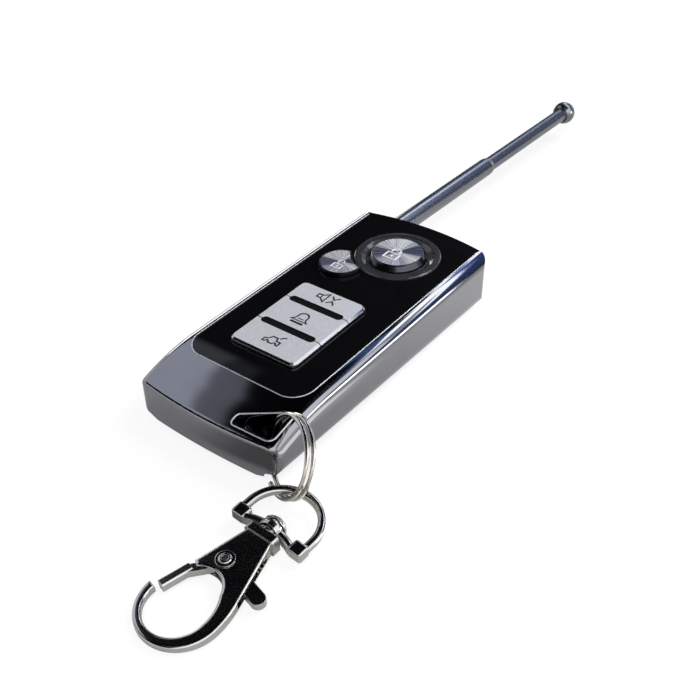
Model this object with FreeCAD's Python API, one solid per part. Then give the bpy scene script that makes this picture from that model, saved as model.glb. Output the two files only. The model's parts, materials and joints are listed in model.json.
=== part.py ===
"""Key-fob remote for a car alarm, with a telescopic antenna, a split key ring and a swivel snap clasp.

Frame: millimetres, +Z up, +Y along the antenna, +X to the right when the keys face up. The origin is the
centre of the flat land on the underside of the case, on which the remote lies. The case is thicker at its
head, where the antenna leaves it, than at its tail, where the key ring goes through a corner window. The
keys sit on the deck, the sloping top of the case, and many pieces are drawn in deck coordinates: x across,
v along the deck and w square to it, with w = 0 at the chrome edge. The clasp is drawn flat about its swivel
axis and then laid on the floor, as the key ring is.
"""
import FreeCAD, Part
import math
import os

V = FreeCAD.Vector
X_AXIS, Y_AXIS, Z_AXIS = V(1, 0, 0), V(0, 1, 0), V(0, 0, 1)
REACH = 60.0                     # of cutting solids, past every face that they cut

# Case, seen from above
case_width = 39.0
case_length = 84.0
tail_bow = 1.2                   # how far the middle of the tail stands out past its corners
head_bow = 2.7
tail_corner_radius = 2.8
head_corner_radius = 3.0
wall = 1.7

# Case, seen from the side
deck_height = 14.1               # of the deck above the floor, over the origin
deck_slope = 1.8                 # degrees, rising to the head
nose_length = 18.0               # the stretch before the tail where the top curves down
nose_drop = 3.5
nose_sweep = 35.0                # degrees, past the tail
shoulder_radius = 3.0
tail_edge_radius = 1.4
land_half_width = 6.0
belly_rise = 1.6                 # of the underside, from the land to the sides
bottom_edge_radius = 3.0
tail_ramp = 9.0                  # of the underside, curving up to the tail
tail_rise = 1.1
roof = 2.4                       # from the deck to the inside

# Black panel set into the deck
panel_inset = 3.0                # from the side of the case to the panel
panel_tail_margin = 12.1         # from the tail of the case to the panel
panel_corner_radius = 5.2
panel_thickness = 1.2
panel_sink = 0.12
panel_gap = 0.06
ledge_width = 1.8

# Clear ring and main button, in deck coordinates
main_x = 1.4
main_from_head = 15.6
ring_radius = 10.6
ring_rim = 1.5                   # width of its flat rim
ring_proud = 0.35
ring_dish = 0.75                 # depth of the dish inside the rim
ring_flange = 0.4
ring_step = 0.25                 # down from its rim, and of its outer bevel
ring_floor = 0.5                 # width of the dish's flat floor
button_gap = 0.2
main_skirt_radius = 7.1
main_disc_radius = 6.1
main_proud = 1.15
main_rim = 0.3                   # metal left round the disc on its top
disc_thickness = 0.4
disc_play = 0.02
disc_proud = 0.08                # above the metal round it
main_edge = 0.2                  # bevel round its top
main_foot = 0.3                  # from the dish to where its cone starts

# Small button beside it, with a bite that follows the clear ring
small_across = -8.9              # from the main button
small_back = -11.1
small_radius = 5.3
small_proud = 1.0
small_bite_gap = 0.7
small_switch_across = 0.7        # of its switch, from the button's centre
small_switch_back = -0.1

# Pad of three keys
pad_x = -0.35
pad_width = 18.4
pad_margin = 7.4                 # from the panel's tail to the pad
pad_from_main = 22.5             # from the pad's head to the main button's centre
boot_key_share = 0.352           # of the pad's length
mute_key_share = 0.273
key_gap = 0.24
pad_corner_radius = 1.7
key_proud = 1.1
key_bevel = 0.5
slot_length = 15.0
slot_width = 2.1

# What holds the keys and buttons under the panel
key_travel = 0.5
flange_width = 0.6
flange_thickness = 0.6
flange_gap = 0.05
plunger_radius = 1.1
plunger_gap = 0.06
mat_thickness = 0.6
mat_gap = 0.08
mat_skirt = 0.8
mat_margin = 0.2                 # from the edge of the pad or the board to the mat
mat_ridge_proud = 0.9
ridge_gap = 0.1

# Board and what is soldered to it
board_depth = 4.4                # of the board's top below the deck
board_thickness = 0.8
board_tube_gap = 0.6             # from the antenna's base tube
board_battery_gap = 0.1
board_past_pad = 0.9
board_past_main = 6.6            # of its head end, past the main button's centre
board_inset = 3.1                # from the side of the case, where it is wide
board_bay_gap = 0.9              # from the battery bay to where the board widens
switch_side = 4.5
switch_height = 1.0
nub_radius = 0.9
nub_height = 0.25
chip_length = 7.5
chip_width = 4.4
chip_height = 1.4
chip_back = 4.4                  # from the main button's centre toward the tail
chip_standoff = 0.15
chip_leg_count = 6
chip_leg_pitch = 1.2
chip_leg_width = 0.4
chip_leg_height = 0.6
chip_leg_reach = 0.9
can_radius = 2.3
can_height = 1.9
can_inset = 3.8                  # from the wide edge of the board
can_back = 2.4
can_flange = 0.4                 # width and thickness
coil_radius = 1.8
coil_length = 6.5
coil_back = 6.4
coil_margin = 1.0                # from the edge of the board
led_radius = 1.3
led_height = 1.6
led_angle = -40.0                # round the main button, from +X
small_part_length = 1.8
small_part_width = 1.0
small_part_height = 0.7
small_part_rows = 4
small_part_columns = 2
small_part_row_pitch = 4.4
small_part_column_pitch = 7.5
small_part_inset = 4.5           # from the edge of the board
small_part_from_pad = 14.5       # from the tail of the pad

# Antenna
antenna_inset = 6.2              # from the side of the case
antenna_z = 8.2
base_tube_radius = 3.1
middle_tube_radius = 2.6
tip_tube_radius = 2.1
tube_wall = 0.32
tube_play = 0.04                 # radial, of a sleeve in the tube round it
neck_play = 0.05                 # radial, of a tube in the neck that it slides through
neck_length = 1.5
neck_taper = 0.25
base_tube_margin = 20.14         # from the tail of the case
middle_reach_lack = 9.3          # how much less the middle tube reaches than the base tube is long
tip_reach_lack = 4.2             # how much less the tip tube reaches than the middle tube
tube_overlap = 6.0               # of a drawn-out tube left inside the next
sleeve_length = 4.0
stop_gap = 0.15
plug_length = 1.5
ball_radius = 3.55
ball_socket = 2.2
ball_seat = 0.5                  # width of its flat face round the tube
bush_radius = 4.0
bush_proud = 0.9
bush_flange_radius = 4.1
bush_flange_thickness = 1.2
bush_bevel = 0.3
cradle_thickness = 1.0
cradle_lead = 5.0                # along the antenna
cradle_shelf = 1.6               # reach of its arm under the board
cradle_from_tail = 8.0           # from the inner end of the base tube

# Back cover
cover_inset = 2.4
cover_gap = 0.1
cover_thickness = 1.5
rebate_width = 1.2
rebate_lip = 1.2
notch_x = 5.2                    # the cover stops short of the corner window
notch_from_tail = 13.6
post_radius = 1.4
post_inset = 2.0                 # from the edges of the board

# Battery and its bay
battery_inset = 8.0              # from the side of the case
battery_radius = 4.0
battery_length = 28.0
battery_margin = 21.6            # from the tail of the case to its flat end
battery_edge_radius = 0.5
battery_gap = 0.25
cap_radius = 1.9
cap_length = 0.9
contact_thickness = 0.4
contact_width = 6.4
contact_height = 7.0
spring_wire = 0.4
spring_radius = 2.4
spring_turns = 3
spring_length = 4.4
bay_wall = 1.2
door_width = 8.6
door_gap = 0.12
door_corner_radius = 0.9
grip_width = 0.5
grip_depth = 0.35
grip_pitch = 1.2
grip_count = 6

# Case screws
screw_radius = 1.0
screw_side = 5.3                 # from the sides of the case
screw_from_tail = 7.4
screw_middle = 1.2
screw_head_radius = 1.8
screw_head_height = 0.9
screw_head_play = 0.2
screw_head_sink = 0.3
screw_shank_play = 0.1
screw_length = 6.4
screw_slot = 0.5
screw_slot_length = 2.6
boss_radius = 2.5
pad_height = 1.0                 # of the cover's pads under the bosses

# Corner window
window_side_bar = 2.1            # between the window and the side of the case
window_tail_bar = 2.7
window_across = 10.2             # along the tail
window_along = 8.6               # along the side
window_corner_radius = 1.4
window_block = 2.0               # of metal left round the window inside
window_edge_radius = 0.3
relief_radius = 1.5              # of the groove under the corner that the ring lies in
relief_top = 5.0

# Split ring, leaning on the corner of the case and standing on the floor
split_radius = 8.2               # of the wire's centre line
split_wire_radius = 0.5
split_gap = 0.42                 # between its two turns
split_ramp = 52.0                # degrees over which the wire steps from turn to turn
split_end_gap = 5.0              # degrees from each end to the ramp
split_phase = 132.0              # degrees round its axis, from outermost to the step under the corner
split_side = 2.0                 # of its centre, out from the side of the case
split_inset = 2.8                # of its centre, in from the tail
split_azimuth = -118.0           # of its axis
split_lean = 22.0                # degrees of its axis above the floor

# Clasp: its place on the floor and the sizes of the swivel loop
clasp_side = 7.9                 # out from the side of the case
clasp_behind = 10.9              # past the tail
clasp_yaw = -2.0
clasp_pitch = 3.0
loop_roll = 4.0                  # of the loop about the swivel axis
floor_gap = 0.02
loop_wire = 1.75
loop_wire_edge = 0.7
loop_radius = 7.8                # of the wire's centre line
loop_leg = 3.6
lug_width = 3.2
lug_height = 2.9
lug_base = -0.9
lug_thickness = 2.7
lug_edge_radius = 0.6
bridge_rise = 1.3
bridge_thickness = 1.6
bridge_arm_radius = 1.2
bridge_eye_radius = 2.5          # of the round part that the pin goes through
pin_shank_radius = 1.2
pin_play = 0.08
pin_head_radius = 2.5
pin_head_height = 1.7
pin_dome_radius = 2.875
pin_end_gap = 0.12
pin_end_y = -3.6                 # of its shank, in the neck of the hook

# Hook
hook_neck_thickness = 3.2           # on the swivel axis; it thins evenly to the far end
hook_end_thickness = 1.7
hook_edge_radius = 0.6
collar_half_width = 3.6
collar_thickness = 4.0
collar_corner_radius = 0.8
collar_edge = 0.3
collar_gap = 0.2
boss_top_radius = 2.0
neck_y = -2.0
neck_half_width = 3.1
corner_x = -5.7                  # lower left corner of the body
corner_y = -13.0
nub_x = -4.5                     # of its end face, over the gate
nub_y = -13.9
eye_x = -1.1                     # of the round inside of the hook
eye_y = -21.7
eye_radius = 6.2
band_x = -0.5                    # of its round outside
band_y = -21.2
band_radius = 8.55
side_curve_radius = 20.0
side_curve_turn = math.radians(17.0)
eye_side_bend = 0.55
arch_right_x = 3.3
arch_right_y = -15.8
arch_top_x = -1.2
arch_top_y = -12.6
tip_inner_y = -21.3               # of the open end of the hook, on its inside and outside
tip_outer_y = -20.9
slot_top_y = -4.3
slot_end_y = -15.2
slot_play = 0.14

# Rivet, gate and its spring
rivet_x = -1.15
rivet_y = -9.75
rivet_radius = 1.2
rivet_play = 0.07
rivet_head_radius = 1.9
rivet_head_height = 0.2
rivet_bead_height = 0.25         # of the rolled edge of its bore, over the head
rivet_bore = 0.65
lever_thickness = 1.5
hub_radius = 2.3
gate_width = 1.85
gate_thickness = 2.0
gate_chamfer = 0.3
gate_head_x = -5.5               # ends of its centre line
gate_head_y = -14.3
gate_foot_x = -7.0
gate_foot_y = -20.3
thumb_reach = 10.1
thumb_drop = 2.3
thumb_width = 2.9
gate_wire = 0.3
gate_coil_radius = 0.58
gate_coil_turns = 4
gate_coil_x = 3.0

# Places worked out from the sizes above
half_width = case_width / 2
antenna_x = antenna_inset - half_width
battery_x = half_width - battery_inset
panel_half_width = half_width - panel_inset
board_left = antenna_x + base_tube_radius + board_tube_gap
board_right = battery_x - battery_radius - board_battery_gap
board_wide_right = half_width - board_inset
can_x = board_wide_right - can_inset
head_y = case_length / 2
tail_y = -case_length / 2
main_v = head_y - main_from_head
small_x = main_x + small_across
small_v = main_v + small_back
small_switch_x = small_x + small_switch_across
small_switch_v = small_v + small_switch_back
nose_v = tail_y + nose_length
nose_radius = (nose_length ** 2 + nose_drop ** 2) / (2 * nose_drop)
panel_tail = tail_y + panel_tail_margin
pad_tail = panel_tail + pad_margin
pad_head = main_v - pad_from_main
boot_split = pad_tail + boot_key_share * (pad_head - pad_tail)
mute_split = pad_head - mute_key_share * (pad_head - pad_tail)
panel_bed = panel_sink + panel_thickness
flange_top = -panel_bed - flange_gap
flange_bottom = flange_top - flange_thickness
mat_top = flange_bottom - key_travel - mat_gap
board_top = -board_depth
board_bottom = board_top - board_thickness
nub_top = board_top + switch_height + nub_height
plunger_end = nub_top + key_travel + plunger_gap
belly_edge = half_width - bottom_edge_radius
belly_radius = ((belly_edge - land_half_width) ** 2 + belly_rise ** 2) / (2 * belly_rise)
antenna_end = head_y - head_bow * (antenna_x / half_width) ** 2 + bush_proud
base_tube_tail = tail_y + base_tube_margin
middle_reach = antenna_end - base_tube_tail - middle_reach_lack
tip_reach = middle_reach - tip_reach_lack
middle_end = antenna_end + middle_reach
tip_end = middle_end + tip_reach
battery_tail = tail_y + battery_margin
battery_head = battery_tail + battery_length
board_tail = pad_tail - board_past_pad
board_head = main_v + board_past_main
board_step = battery_head + cap_length + contact_thickness + bay_wall + board_bay_gap
screw_places = ((screw_side - half_width, tail_y + screw_from_tail), (screw_middle, tail_y + screw_from_tail),
                (half_width - screw_side - 0.6, head_y - 6.0), (-5.8, head_y - 4.8))
post_places = ((board_left + post_inset, pad_tail + 2.1), (board_right - post_inset, pad_tail + 2.1),
               (board_left + post_inset, board_head - 3.2), (board_wide_right - post_inset, board_head - 2.4))
notch_y = tail_y + notch_from_tail
split_x = half_width + split_side
split_y = tail_y + split_inset
clasp_x = half_width + clasp_side
clasp_y = tail_y - clasp_behind
bay_floor = cover_thickness + belly_rise
split_pitch = 2 * split_wire_radius + split_gap


def deck_frame():
    """Placement that carries deck coordinates into the frame of the part."""
    return FreeCAD.Placement(V(0, 0, deck_height), FreeCAD.Rotation(X_AXIS, deck_slope))


def placed(shape, placement):
    """A copy of the shape carried by the placement."""
    moved = shape.copy()
    moved.Placement = placement.multiply(moved.Placement)
    return moved


def on_deck(shape):
    """A copy of a shape drawn in deck coordinates, in the frame of the part."""
    return placed(shape, deck_frame())


def deck_z(y):
    """Height of the deck over y, with its slope but without the nose's drop."""
    return deck_height + y * math.tan(math.radians(deck_slope))


def belly_z(x):
    """Height of the underside at x."""
    run = max(abs(x) - land_half_width, 0.0)
    return belly_radius - math.sqrt(belly_radius ** 2 - run ** 2)


def arc(a, b, c):
    """Edge of the arc from a through b to c."""
    return Part.Arc(a, b, c).toShape()


def line(a, b):
    """Edge from a to b."""
    return Part.makeLine(a, b)


def prism(edges, height):
    """Solid swept from the closed outline by the vector height."""
    return Part.Face(Part.Wire(edges)).extrude(height)


def polygon(points, bottom, top):
    """Upright prism on straight lines through (x, y) points."""
    corners = [V(x, y, bottom) for x, y in points]
    return Part.Face(Part.makePolygon(corners + corners[:1])).extrude(V(0, 0, top - bottom))


def block(x0, x1, y0, y1, z0, z1):
    """Box between two corners."""
    return Part.makeBox(x1 - x0, y1 - y0, z1 - z0, V(x0, y0, z0))


def disc(radius, x, y, z0, z1):
    """Upright cylinder."""
    return Part.makeCylinder(radius, z1 - z0, V(x, y, z0))


def rod(radius, x, z, y0, y1):
    """Cylinder along Y."""
    return Part.makeCylinder(radius, y1 - y0, V(x, y0, z), Y_AXIS)


def revolved(points, centre, axis=Z_AXIS):
    """Solid of revolution about the axis through the centre; points are (radius, height)."""
    ring = [V(radius, 0, height) for radius, height in points]
    solid = Part.Face(Part.makePolygon(ring + ring[:1])).revolve(V(0, 0, 0), Z_AXIS, 360)
    return placed(solid, FreeCAD.Placement(centre, FreeCAD.Rotation(Z_AXIS, axis)))


def middle(edge):
    """Point halfway along the edge."""
    return edge.valueAt((edge.FirstParameter + edge.LastParameter) / 2)


def upright_edges(solid, test):
    """Straight upright edges of the solid whose middle passes the test."""
    found = []
    for edge in solid.Edges:
        ends = [vertex.Point for vertex in edge.Vertexes]
        if len(ends) == 2 and (ends[0] - ends[1]).cross(Z_AXIS).Length < 1e-6 and test(middle(edge)):
            found.append(edge)
    return found


def rounded_block(x0, x1, y0, y1, z0, z1, radius):
    """Box with its upright edges rounded."""
    solid = block(x0, x1, y0, y1, z0, z1)
    return solid.makeFillet(radius, upright_edges(solid, lambda point: True))


def stadium(x, y, length, width, z0, z1):
    """Upright solid with straight sides along X and round ends."""
    reach = (length - width) / 2
    solid = block(x - reach, x + reach, y - width / 2, y + width / 2, z0, z1)
    return solid.fuse([disc(width / 2, x - reach, y, z0, z1), disc(width / 2, x + reach, y, z0, z1)])


def plan_form(inset):
    """Upright solid on the outline of the case, drawn in by the inset."""
    side = half_width - inset
    tail_side = tail_y + inset + tail_bow * (side / half_width) ** 2
    head_side = head_y - inset - head_bow * (side / half_width) ** 2
    edges = [arc(V(-side, tail_side, -1), V(0, tail_y + inset, -1), V(side, tail_side, -1)),
             line(V(side, tail_side, -1), V(side, head_side, -1)),
             arc(V(side, head_side, -1), V(0, head_y - inset, -1), V(-side, head_side, -1)),
             line(V(-side, head_side, -1), V(-side, tail_side, -1))]
    solid = prism(edges, V(0, 0, REACH))
    corners = ((tail_corner_radius, lambda point: point.y < 0), (head_corner_radius, lambda point: point.y > 0))
    for radius, test in corners:
        sharp = upright_edges(solid, lambda point: test(point) and abs(abs(point.x) - side) < 1e-6)
        solid = solid.makeFillet(max(radius - inset, 0.3), sharp)
    return solid


def top_form(inset, drop):
    """Solid under the deck and the nose, with the shoulders rounded, lowered by the drop."""
    side = half_width - inset
    radius = max(shoulder_radius - max(inset, drop), 0.2)
    bend = radius * (1 - math.sqrt(0.5))
    low = V(-side, nose_v, -REACH / 3)
    points = [low, V(-side, nose_v, -drop - radius), V(-side + radius, nose_v, -drop)]
    points += [V(-p.x, p.y, p.z) for p in reversed(points)]
    edges = [line(points[0], points[1]),
             arc(points[1], V(-side + bend, nose_v, -drop - bend), points[2]),
             line(points[2], points[3]),
             arc(points[3], V(side - bend, nose_v, -drop - bend), points[4]),
             line(points[4], points[5]),
             line(points[5], points[0])]
    section = Part.Face(Part.Wire(edges))
    deck = section.extrude(V(0, 2 * case_length, 0))
    nose = section.revolve(V(0, nose_v, -nose_radius), X_AXIS, nose_sweep)
    return on_deck(deck.fuse(nose).removeSplitter())


def bottom_form(inset, lift):
    """Solid over the belly with its flat land, raised by the lift."""
    side = half_width - inset
    radius = max(bottom_edge_radius - max(inset, lift), 0.2)
    bend = radius * (1 - math.sqrt(0.5))
    edge = side - radius
    half = (edge + land_half_width) / 2
    y = -REACH
    right = [V(land_half_width, y, lift), V(half, y, belly_z(half) + lift), V(edge, y, belly_z(edge) + lift)]
    right += [V(side - bend, y, right[2].z + bend), V(side, y, right[2].z + radius), V(side, y, REACH / 2)]
    left = [V(-p.x, p.y, p.z) for p in right]
    edges = [line(left[0], right[0]), arc(*right[0:3]), arc(*right[2:5]), line(right[4], right[5]),
             line(right[5], left[5]), line(left[5], left[4]), arc(*reversed(left[2:5])),
             arc(*reversed(left[0:3]))]
    return prism(edges, V(0, 2 * REACH, 0))


def case_form(inset, drop, lift):
    """The outer form of the case, drawn in from the sides, the top and the underside."""
    form = plan_form(inset).common(top_form(inset, drop)).common(bottom_form(inset, lift))
    return form.removeSplitter().Solids[0]


def tail_ramp_form():
    """Solid under the tail that curves its underside up."""
    start = tail_y + tail_ramp
    bulge = tail_rise / 4
    edges = [arc(V(-REACH, start, 0), V(-REACH, start - tail_ramp / 2, bulge), V(-REACH, tail_y, tail_rise)),
             line(V(-REACH, tail_y, tail_rise), V(-REACH, tail_y - 1, tail_rise)),
             line(V(-REACH, tail_y - 1, tail_rise), V(-REACH, tail_y - 1, -1)),
             line(V(-REACH, tail_y - 1, -1), V(-REACH, start, -1)),
             line(V(-REACH, start, -1), V(-REACH, start, 0))]
    return prism(edges, V(2 * REACH, 0, 0))


def envelope():
    """The outer form of the case with the upper edge of its tail rounded."""
    form = case_form(0, 0, 0)
    near_tail = tail_y + tail_bow + tail_corner_radius / 2
    edges = [e for e in form.Edges if middle(e).y < near_tail and middle(e).z > deck_height / 2]
    return form.makeFillet(tail_edge_radius, edges).cut(tail_ramp_form()).Solids[0]


def panel_outline(grow):
    """Solid through the deck on the panel's outline, grown outwards; its head end runs past the case."""
    side = panel_half_width + grow
    solid = block(-side, side, panel_tail - grow, head_y + REACH, -REACH / 3, REACH / 3)
    radius = panel_corner_radius + grow
    return on_deck(solid.makeFillet(radius, upright_edges(solid, lambda p: p.y < 0)))


def window_form(grow):
    """Upright solid through the corner window, grown outwards."""
    side = half_width - window_side_bar
    tail = tail_y + window_tail_bar
    across, along = window_across, window_along
    slant = math.hypot(across, along)
    corners = [(side + grow, tail - grow),
               (side + grow, tail + along + grow * (slant + along) / across),
               (side - across - grow * (slant + across) / along, tail - grow)]
    solid = polygon(corners, -1, REACH / 2)
    return solid.makeFillet(window_corner_radius + grow, upright_edges(solid, lambda p: True))


def cover_outline(grow):
    """Upright solid on the outline of the back cover, grown outwards."""
    notch = block(notch_x + grow, REACH, -REACH, notch_y - grow, -2, REACH)
    return plan_form(cover_inset - grow).cut(notch)


def case_bosses():
    """Bosses under the roof that take the case screws."""
    return [disc(boss_radius, x, y, belly_z(x) + cover_thickness + pad_height, deck_height * 2)
            for x, y in screw_places]


def upper_case():
    """Chromed frame: side walls, nose with the corner window, ledge for the panel and screw bosses."""
    inside = case_form(wall, roof, cover_thickness + rebate_lip)
    shell = envelope().cut(inside.cut(window_form(window_block)))
    opening = panel_outline(-ledge_width).common(plan_form(wall + ledge_width))
    shell = shell.cut(opening.cut(window_form(window_block)).common(top_form(0, 0)).cut(top_form(0, roof + 1)))
    bosses = [boss.common(inside) for boss in case_bosses()]
    shell = shell.fuse(bosses)
    shell = shell.cut(panel_outline(panel_gap).cut(top_form(0, panel_bed)))
    shell = shell.cut(cover_outline(0).cut(bottom_form(0, cover_thickness)))
    shell = shell.cut(cover_outline(-rebate_width).cut(bottom_form(0, cover_thickness + rebate_lip + 1))
                      .cut(fused(bosses)))
    shell = shell.cut([window_form(0), ring_relief()])
    near_window = window_form(window_edge_radius / 2)
    rim = [e for e in shell.Edges if middle(e).z > deck_height / 2 and near_window.isInside(middle(e), 0.01, True)]
    shell = shell.makeFillet(window_edge_radius, rim)
    for x, y in screw_places:
        shell = shell.cut(disc(screw_radius, x, y, 0, belly_z(x) + screw_length + screw_head_sink + 1))
    hole = rod(bush_radius, antenna_x, antenna_z, antenna_end - REACH / 6, antenna_end + 1)
    return shell.cut(hole).removeSplitter()


def fused(solids):
    """One shape of all the solids."""
    return solids[0].fuse(solids[1:])


def bay_box(grow):
    """Space of the battery with its contacts, over the whole height of the cover."""
    tail = battery_tail - spring_length - contact_thickness
    head = battery_head + cap_length + contact_thickness
    side = battery_radius + grow
    return block(battery_x - side, battery_x + side, tail - grow, head + grow, -1, REACH)


def door_outline(grow):
    """Upright solid on the outline of the battery door, grown outwards."""
    box = bay_box(0).BoundBox
    half = door_width / 2 + grow
    return rounded_block(battery_x - half, battery_x + half, box.YMin - grow, box.YMax + grow,
                         -1, REACH, door_corner_radius)


def battery_z():
    """Height of the battery's axis, over the inside of the door."""
    return bay_floor + battery_gap - belly_rise + belly_z(battery_x) + battery_radius


def rear_cover():
    """Back cover with its flat land, the posts under the board and the end walls of the battery bay."""
    slab = envelope().cut(bottom_form(0, cover_thickness)).common(cover_outline(-cover_gap))
    inner = cover_outline(-rebate_width - cover_gap)
    top = fused([disc(boss_radius, x, y, 0, belly_z(x) + cover_thickness + pad_height - flange_gap)
                 for x, y in screw_places]).common(inner).common(bottom_form(0, 0))
    under_board = on_deck(block(-REACH, REACH, -REACH, REACH, -REACH, board_bottom))
    posts = fused([disc(post_radius, x, y, cover_thickness / 2, REACH) for x, y in post_places])
    box = bay_box(0).BoundBox
    half = contact_width / 2
    walls = [block(battery_x - half, battery_x + half, y, y + bay_wall, cover_thickness,
                   battery_z() + contact_height / 2)
             for y in (box.YMin - bay_wall, box.YMax)]
    cover = slab.fuse([top, posts.common(under_board)])
    cover = cover.cut(door_outline(door_gap))
    cover = cover.fuse([w.common(inner) for w in walls])
    for x, y in screw_places:
        seat = belly_z(x) + screw_head_sink + screw_head_height
        cover = cover.cut(disc(screw_head_radius + screw_head_play, x, y, -1, seat))
        cover = cover.cut(disc(screw_radius + screw_shank_play, x, y, -1, REACH / 4))
    return cover.cut(tail_ramp_form()).removeSplitter()


def battery_door():
    """Snap-in door under the battery, with grip grooves across its outer face."""
    door = envelope().cut(bottom_form(0, cover_thickness)).common(door_outline(0))
    grip = []
    for index in range(grip_count):
        y = (index - (grip_count - 1) / 2) * grip_pitch
        grip.append(block(battery_x - door_width / 4, battery_x + door_width / 4, y - grip_width / 2,
                          y + grip_width / 2, -1, belly_z(battery_x) + grip_depth))
    return door.cut(fused(grip))


def face_panel():
    """Black panel with the openings for the keys, the clear ring and the small button."""
    panel = panel_outline(0).common(plan_form(0)).common(top_form(0, panel_sink)).cut(top_form(0, panel_bed))
    panel = panel.cut(on_deck(pad_form(button_gap, -REACH / 4, REACH / 4)))
    panel = panel.cut(on_deck(disc(ring_radius + panel_gap, main_x, main_v, -REACH / 4, REACH / 4)))
    return panel.cut(on_deck(small_form(button_gap, -REACH / 4, REACH / 4))).removeSplitter()


def pad_form(grow, bottom, top):
    """Solid on the outline of the three keys, in deck coordinates."""
    half = pad_width / 2 + grow
    return rounded_block(pad_x - half, pad_x + half, pad_tail - grow, pad_head + grow, bottom, top,
                         pad_corner_radius + grow)


def small_form(grow, bottom, top):
    """Solid on the outline of the small button, in deck coordinates."""
    bite = disc(ring_radius + small_bite_gap - grow, main_x, main_v, bottom - 1, top + 1)
    return disc(small_radius + grow, small_x, small_v, bottom, top).cut(bite)


def lens_ring():
    """Clear ring round the main button: a flat rim, a dish and a flange under the panel."""
    bore = main_skirt_radius + button_gap
    rim = ring_radius - ring_rim
    recess = bore + flange_width + button_gap
    dish = ring_proud - ring_dish
    points = [(bore, -panel_bed), (bore, dish), (bore + ring_floor, dish), (rim - ring_step, ring_proud - ring_step),
              (rim, ring_proud - ring_step), (rim, ring_proud), (ring_radius - ring_step, ring_proud),
              (ring_radius, ring_proud - ring_step), (ring_radius, flange_top),
              (ring_radius + ring_flange, flange_top), (ring_radius + ring_flange, flange_bottom),
              (recess, flange_bottom), (recess, -panel_bed)]
    return on_deck(revolved(points, V(main_x, main_v, 0)))


def plunger(x, v):
    """Stem under a button, down to just over the switch."""
    return disc(plunger_radius, x, v, plunger_end, flange_bottom + flange_thickness / 2)


def lock_button():
    """Main round button: conical skirt, flange, plunger and a seat for its disc."""
    points = [(0, flange_bottom), (main_skirt_radius + flange_width, flange_bottom),
              (main_skirt_radius + flange_width, flange_top), (main_skirt_radius, flange_top),
              (main_skirt_radius, ring_proud - ring_dish + main_foot),
              (main_disc_radius + main_rim, main_proud - main_edge),
              (main_disc_radius + main_rim - main_edge, main_proud), (main_disc_radius, main_proud),
              (main_disc_radius, main_proud - disc_thickness), (0, main_proud - disc_thickness)]
    body = revolved(points, V(main_x, main_v, 0))
    return on_deck(body.fuse(plunger(main_x, main_v)).removeSplitter())


def lock_disc():
    """Spun metal disc set into the main button."""
    return on_deck(disc(main_disc_radius - disc_play, main_x, main_v, main_proud - disc_thickness,
                        main_proud + disc_proud))


def unlock_button():
    """Small button: cap, flange and plunger under it."""
    body = small_form(0, flange_bottom, small_proud)
    keep = disc(ring_radius + ring_flange + button_gap, main_x, main_v, -REACH / 4, REACH / 4)
    flange = small_form(flange_width, flange_bottom, flange_top).cut(keep)
    body = body.cut(small_form(-main_rim, small_proud - disc_thickness, small_proud + 1))
    return on_deck(body.fuse([flange, plunger(small_switch_x, small_switch_v)]).removeSplitter())


def unlock_disc():
    """Spun metal disc set into the small button."""
    return on_deck(small_form(-main_rim - disc_play, small_proud - disc_thickness, small_proud + disc_proud))


def key_middle(tail, head):
    """v of the middle of a key."""
    return (tail + head) / 2


def pad_key(tail, head):
    """One key of the pad, from tail to head, with its flange and plunger."""
    cap = pad_form(0, flange_bottom, key_proud)
    rim = [e for e in cap.Edges if abs(middle(e).z - key_proud) < 1e-6]
    cap = cap.makeChamfer(key_bevel, rim)
    flange = pad_form(flange_width, flange_bottom, flange_top)
    side = pad_width
    low = tail + (key_gap / 2 if tail > pad_tail else -side)
    high = head - (key_gap / 2 if head < pad_head else -side)
    window = block(-side, side, low, high, -REACH / 4, REACH / 4)
    key = cap.fuse(flange).common(window)
    for split in (boot_split, mute_split):
        key = key.cut(stadium(pad_x, split, slot_length, slot_width, -REACH / 4, REACH / 4))
    return on_deck(key.fuse(plunger(pad_x, key_middle(tail, head))).removeSplitter())


def keypad_mat():
    """Soft mat on the board: holes for the plungers and ridges that stand in the slots of the pad."""
    left = max(pad_x - pad_width / 2, board_left) + mat_margin
    right = min(pad_x + pad_width / 2, board_right) - mat_margin
    tail, head = pad_tail + mat_margin, pad_head - mat_margin
    low = mat_top - mat_thickness
    mat = rounded_block(left, right, tail, head, board_top, mat_top, pad_corner_radius)
    mat = mat.cut(rounded_block(left + mat_skirt, right - mat_skirt, tail + mat_skirt, head - mat_skirt,
                                board_top - 1, low, pad_corner_radius - mat_skirt))
    ridges = []
    for split in (boot_split, mute_split):
        ridges.append(stadium(pad_x, split, slot_length - 2 * ridge_gap, slot_width - 2 * ridge_gap,
                              low, mat_ridge_proud))
    mat = mat.fuse(ridges)
    for v in key_places():
        mat = mat.cut(disc(plunger_radius + ridge_gap, pad_x, v, board_top, mat_top + 1))
    return on_deck(mat.removeSplitter())


def key_places():
    """v of the plungers of the three keys, from the tail on."""
    return [key_middle(pad_tail, boot_split), key_middle(boot_split, mute_split), key_middle(mute_split, pad_head)]


def circuit_board():
    """Board under the keys, wider past the battery."""
    board = block(board_left, board_right, board_tail, board_head, board_bottom, board_top)
    wide = block(board_left, board_wide_right, board_step, board_head, board_bottom, board_top)
    return on_deck(board.fuse(wide).removeSplitter())


def tact_switches():
    """Five switches on the board, under the keys and buttons."""
    places = [(pad_x, v) for v in key_places()]
    places += [(small_switch_x, small_switch_v), (main_x, main_v)]
    half = switch_side / 2
    switches = []
    for x, v in places:
        body = block(x - half, x + half, v - half, v + half, board_top, board_top + switch_height)
        switches.append(body.fuse(disc(nub_radius, x, v, board_top, nub_top)).removeSplitter())
    return on_deck(Part.makeCompound(switches))


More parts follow.
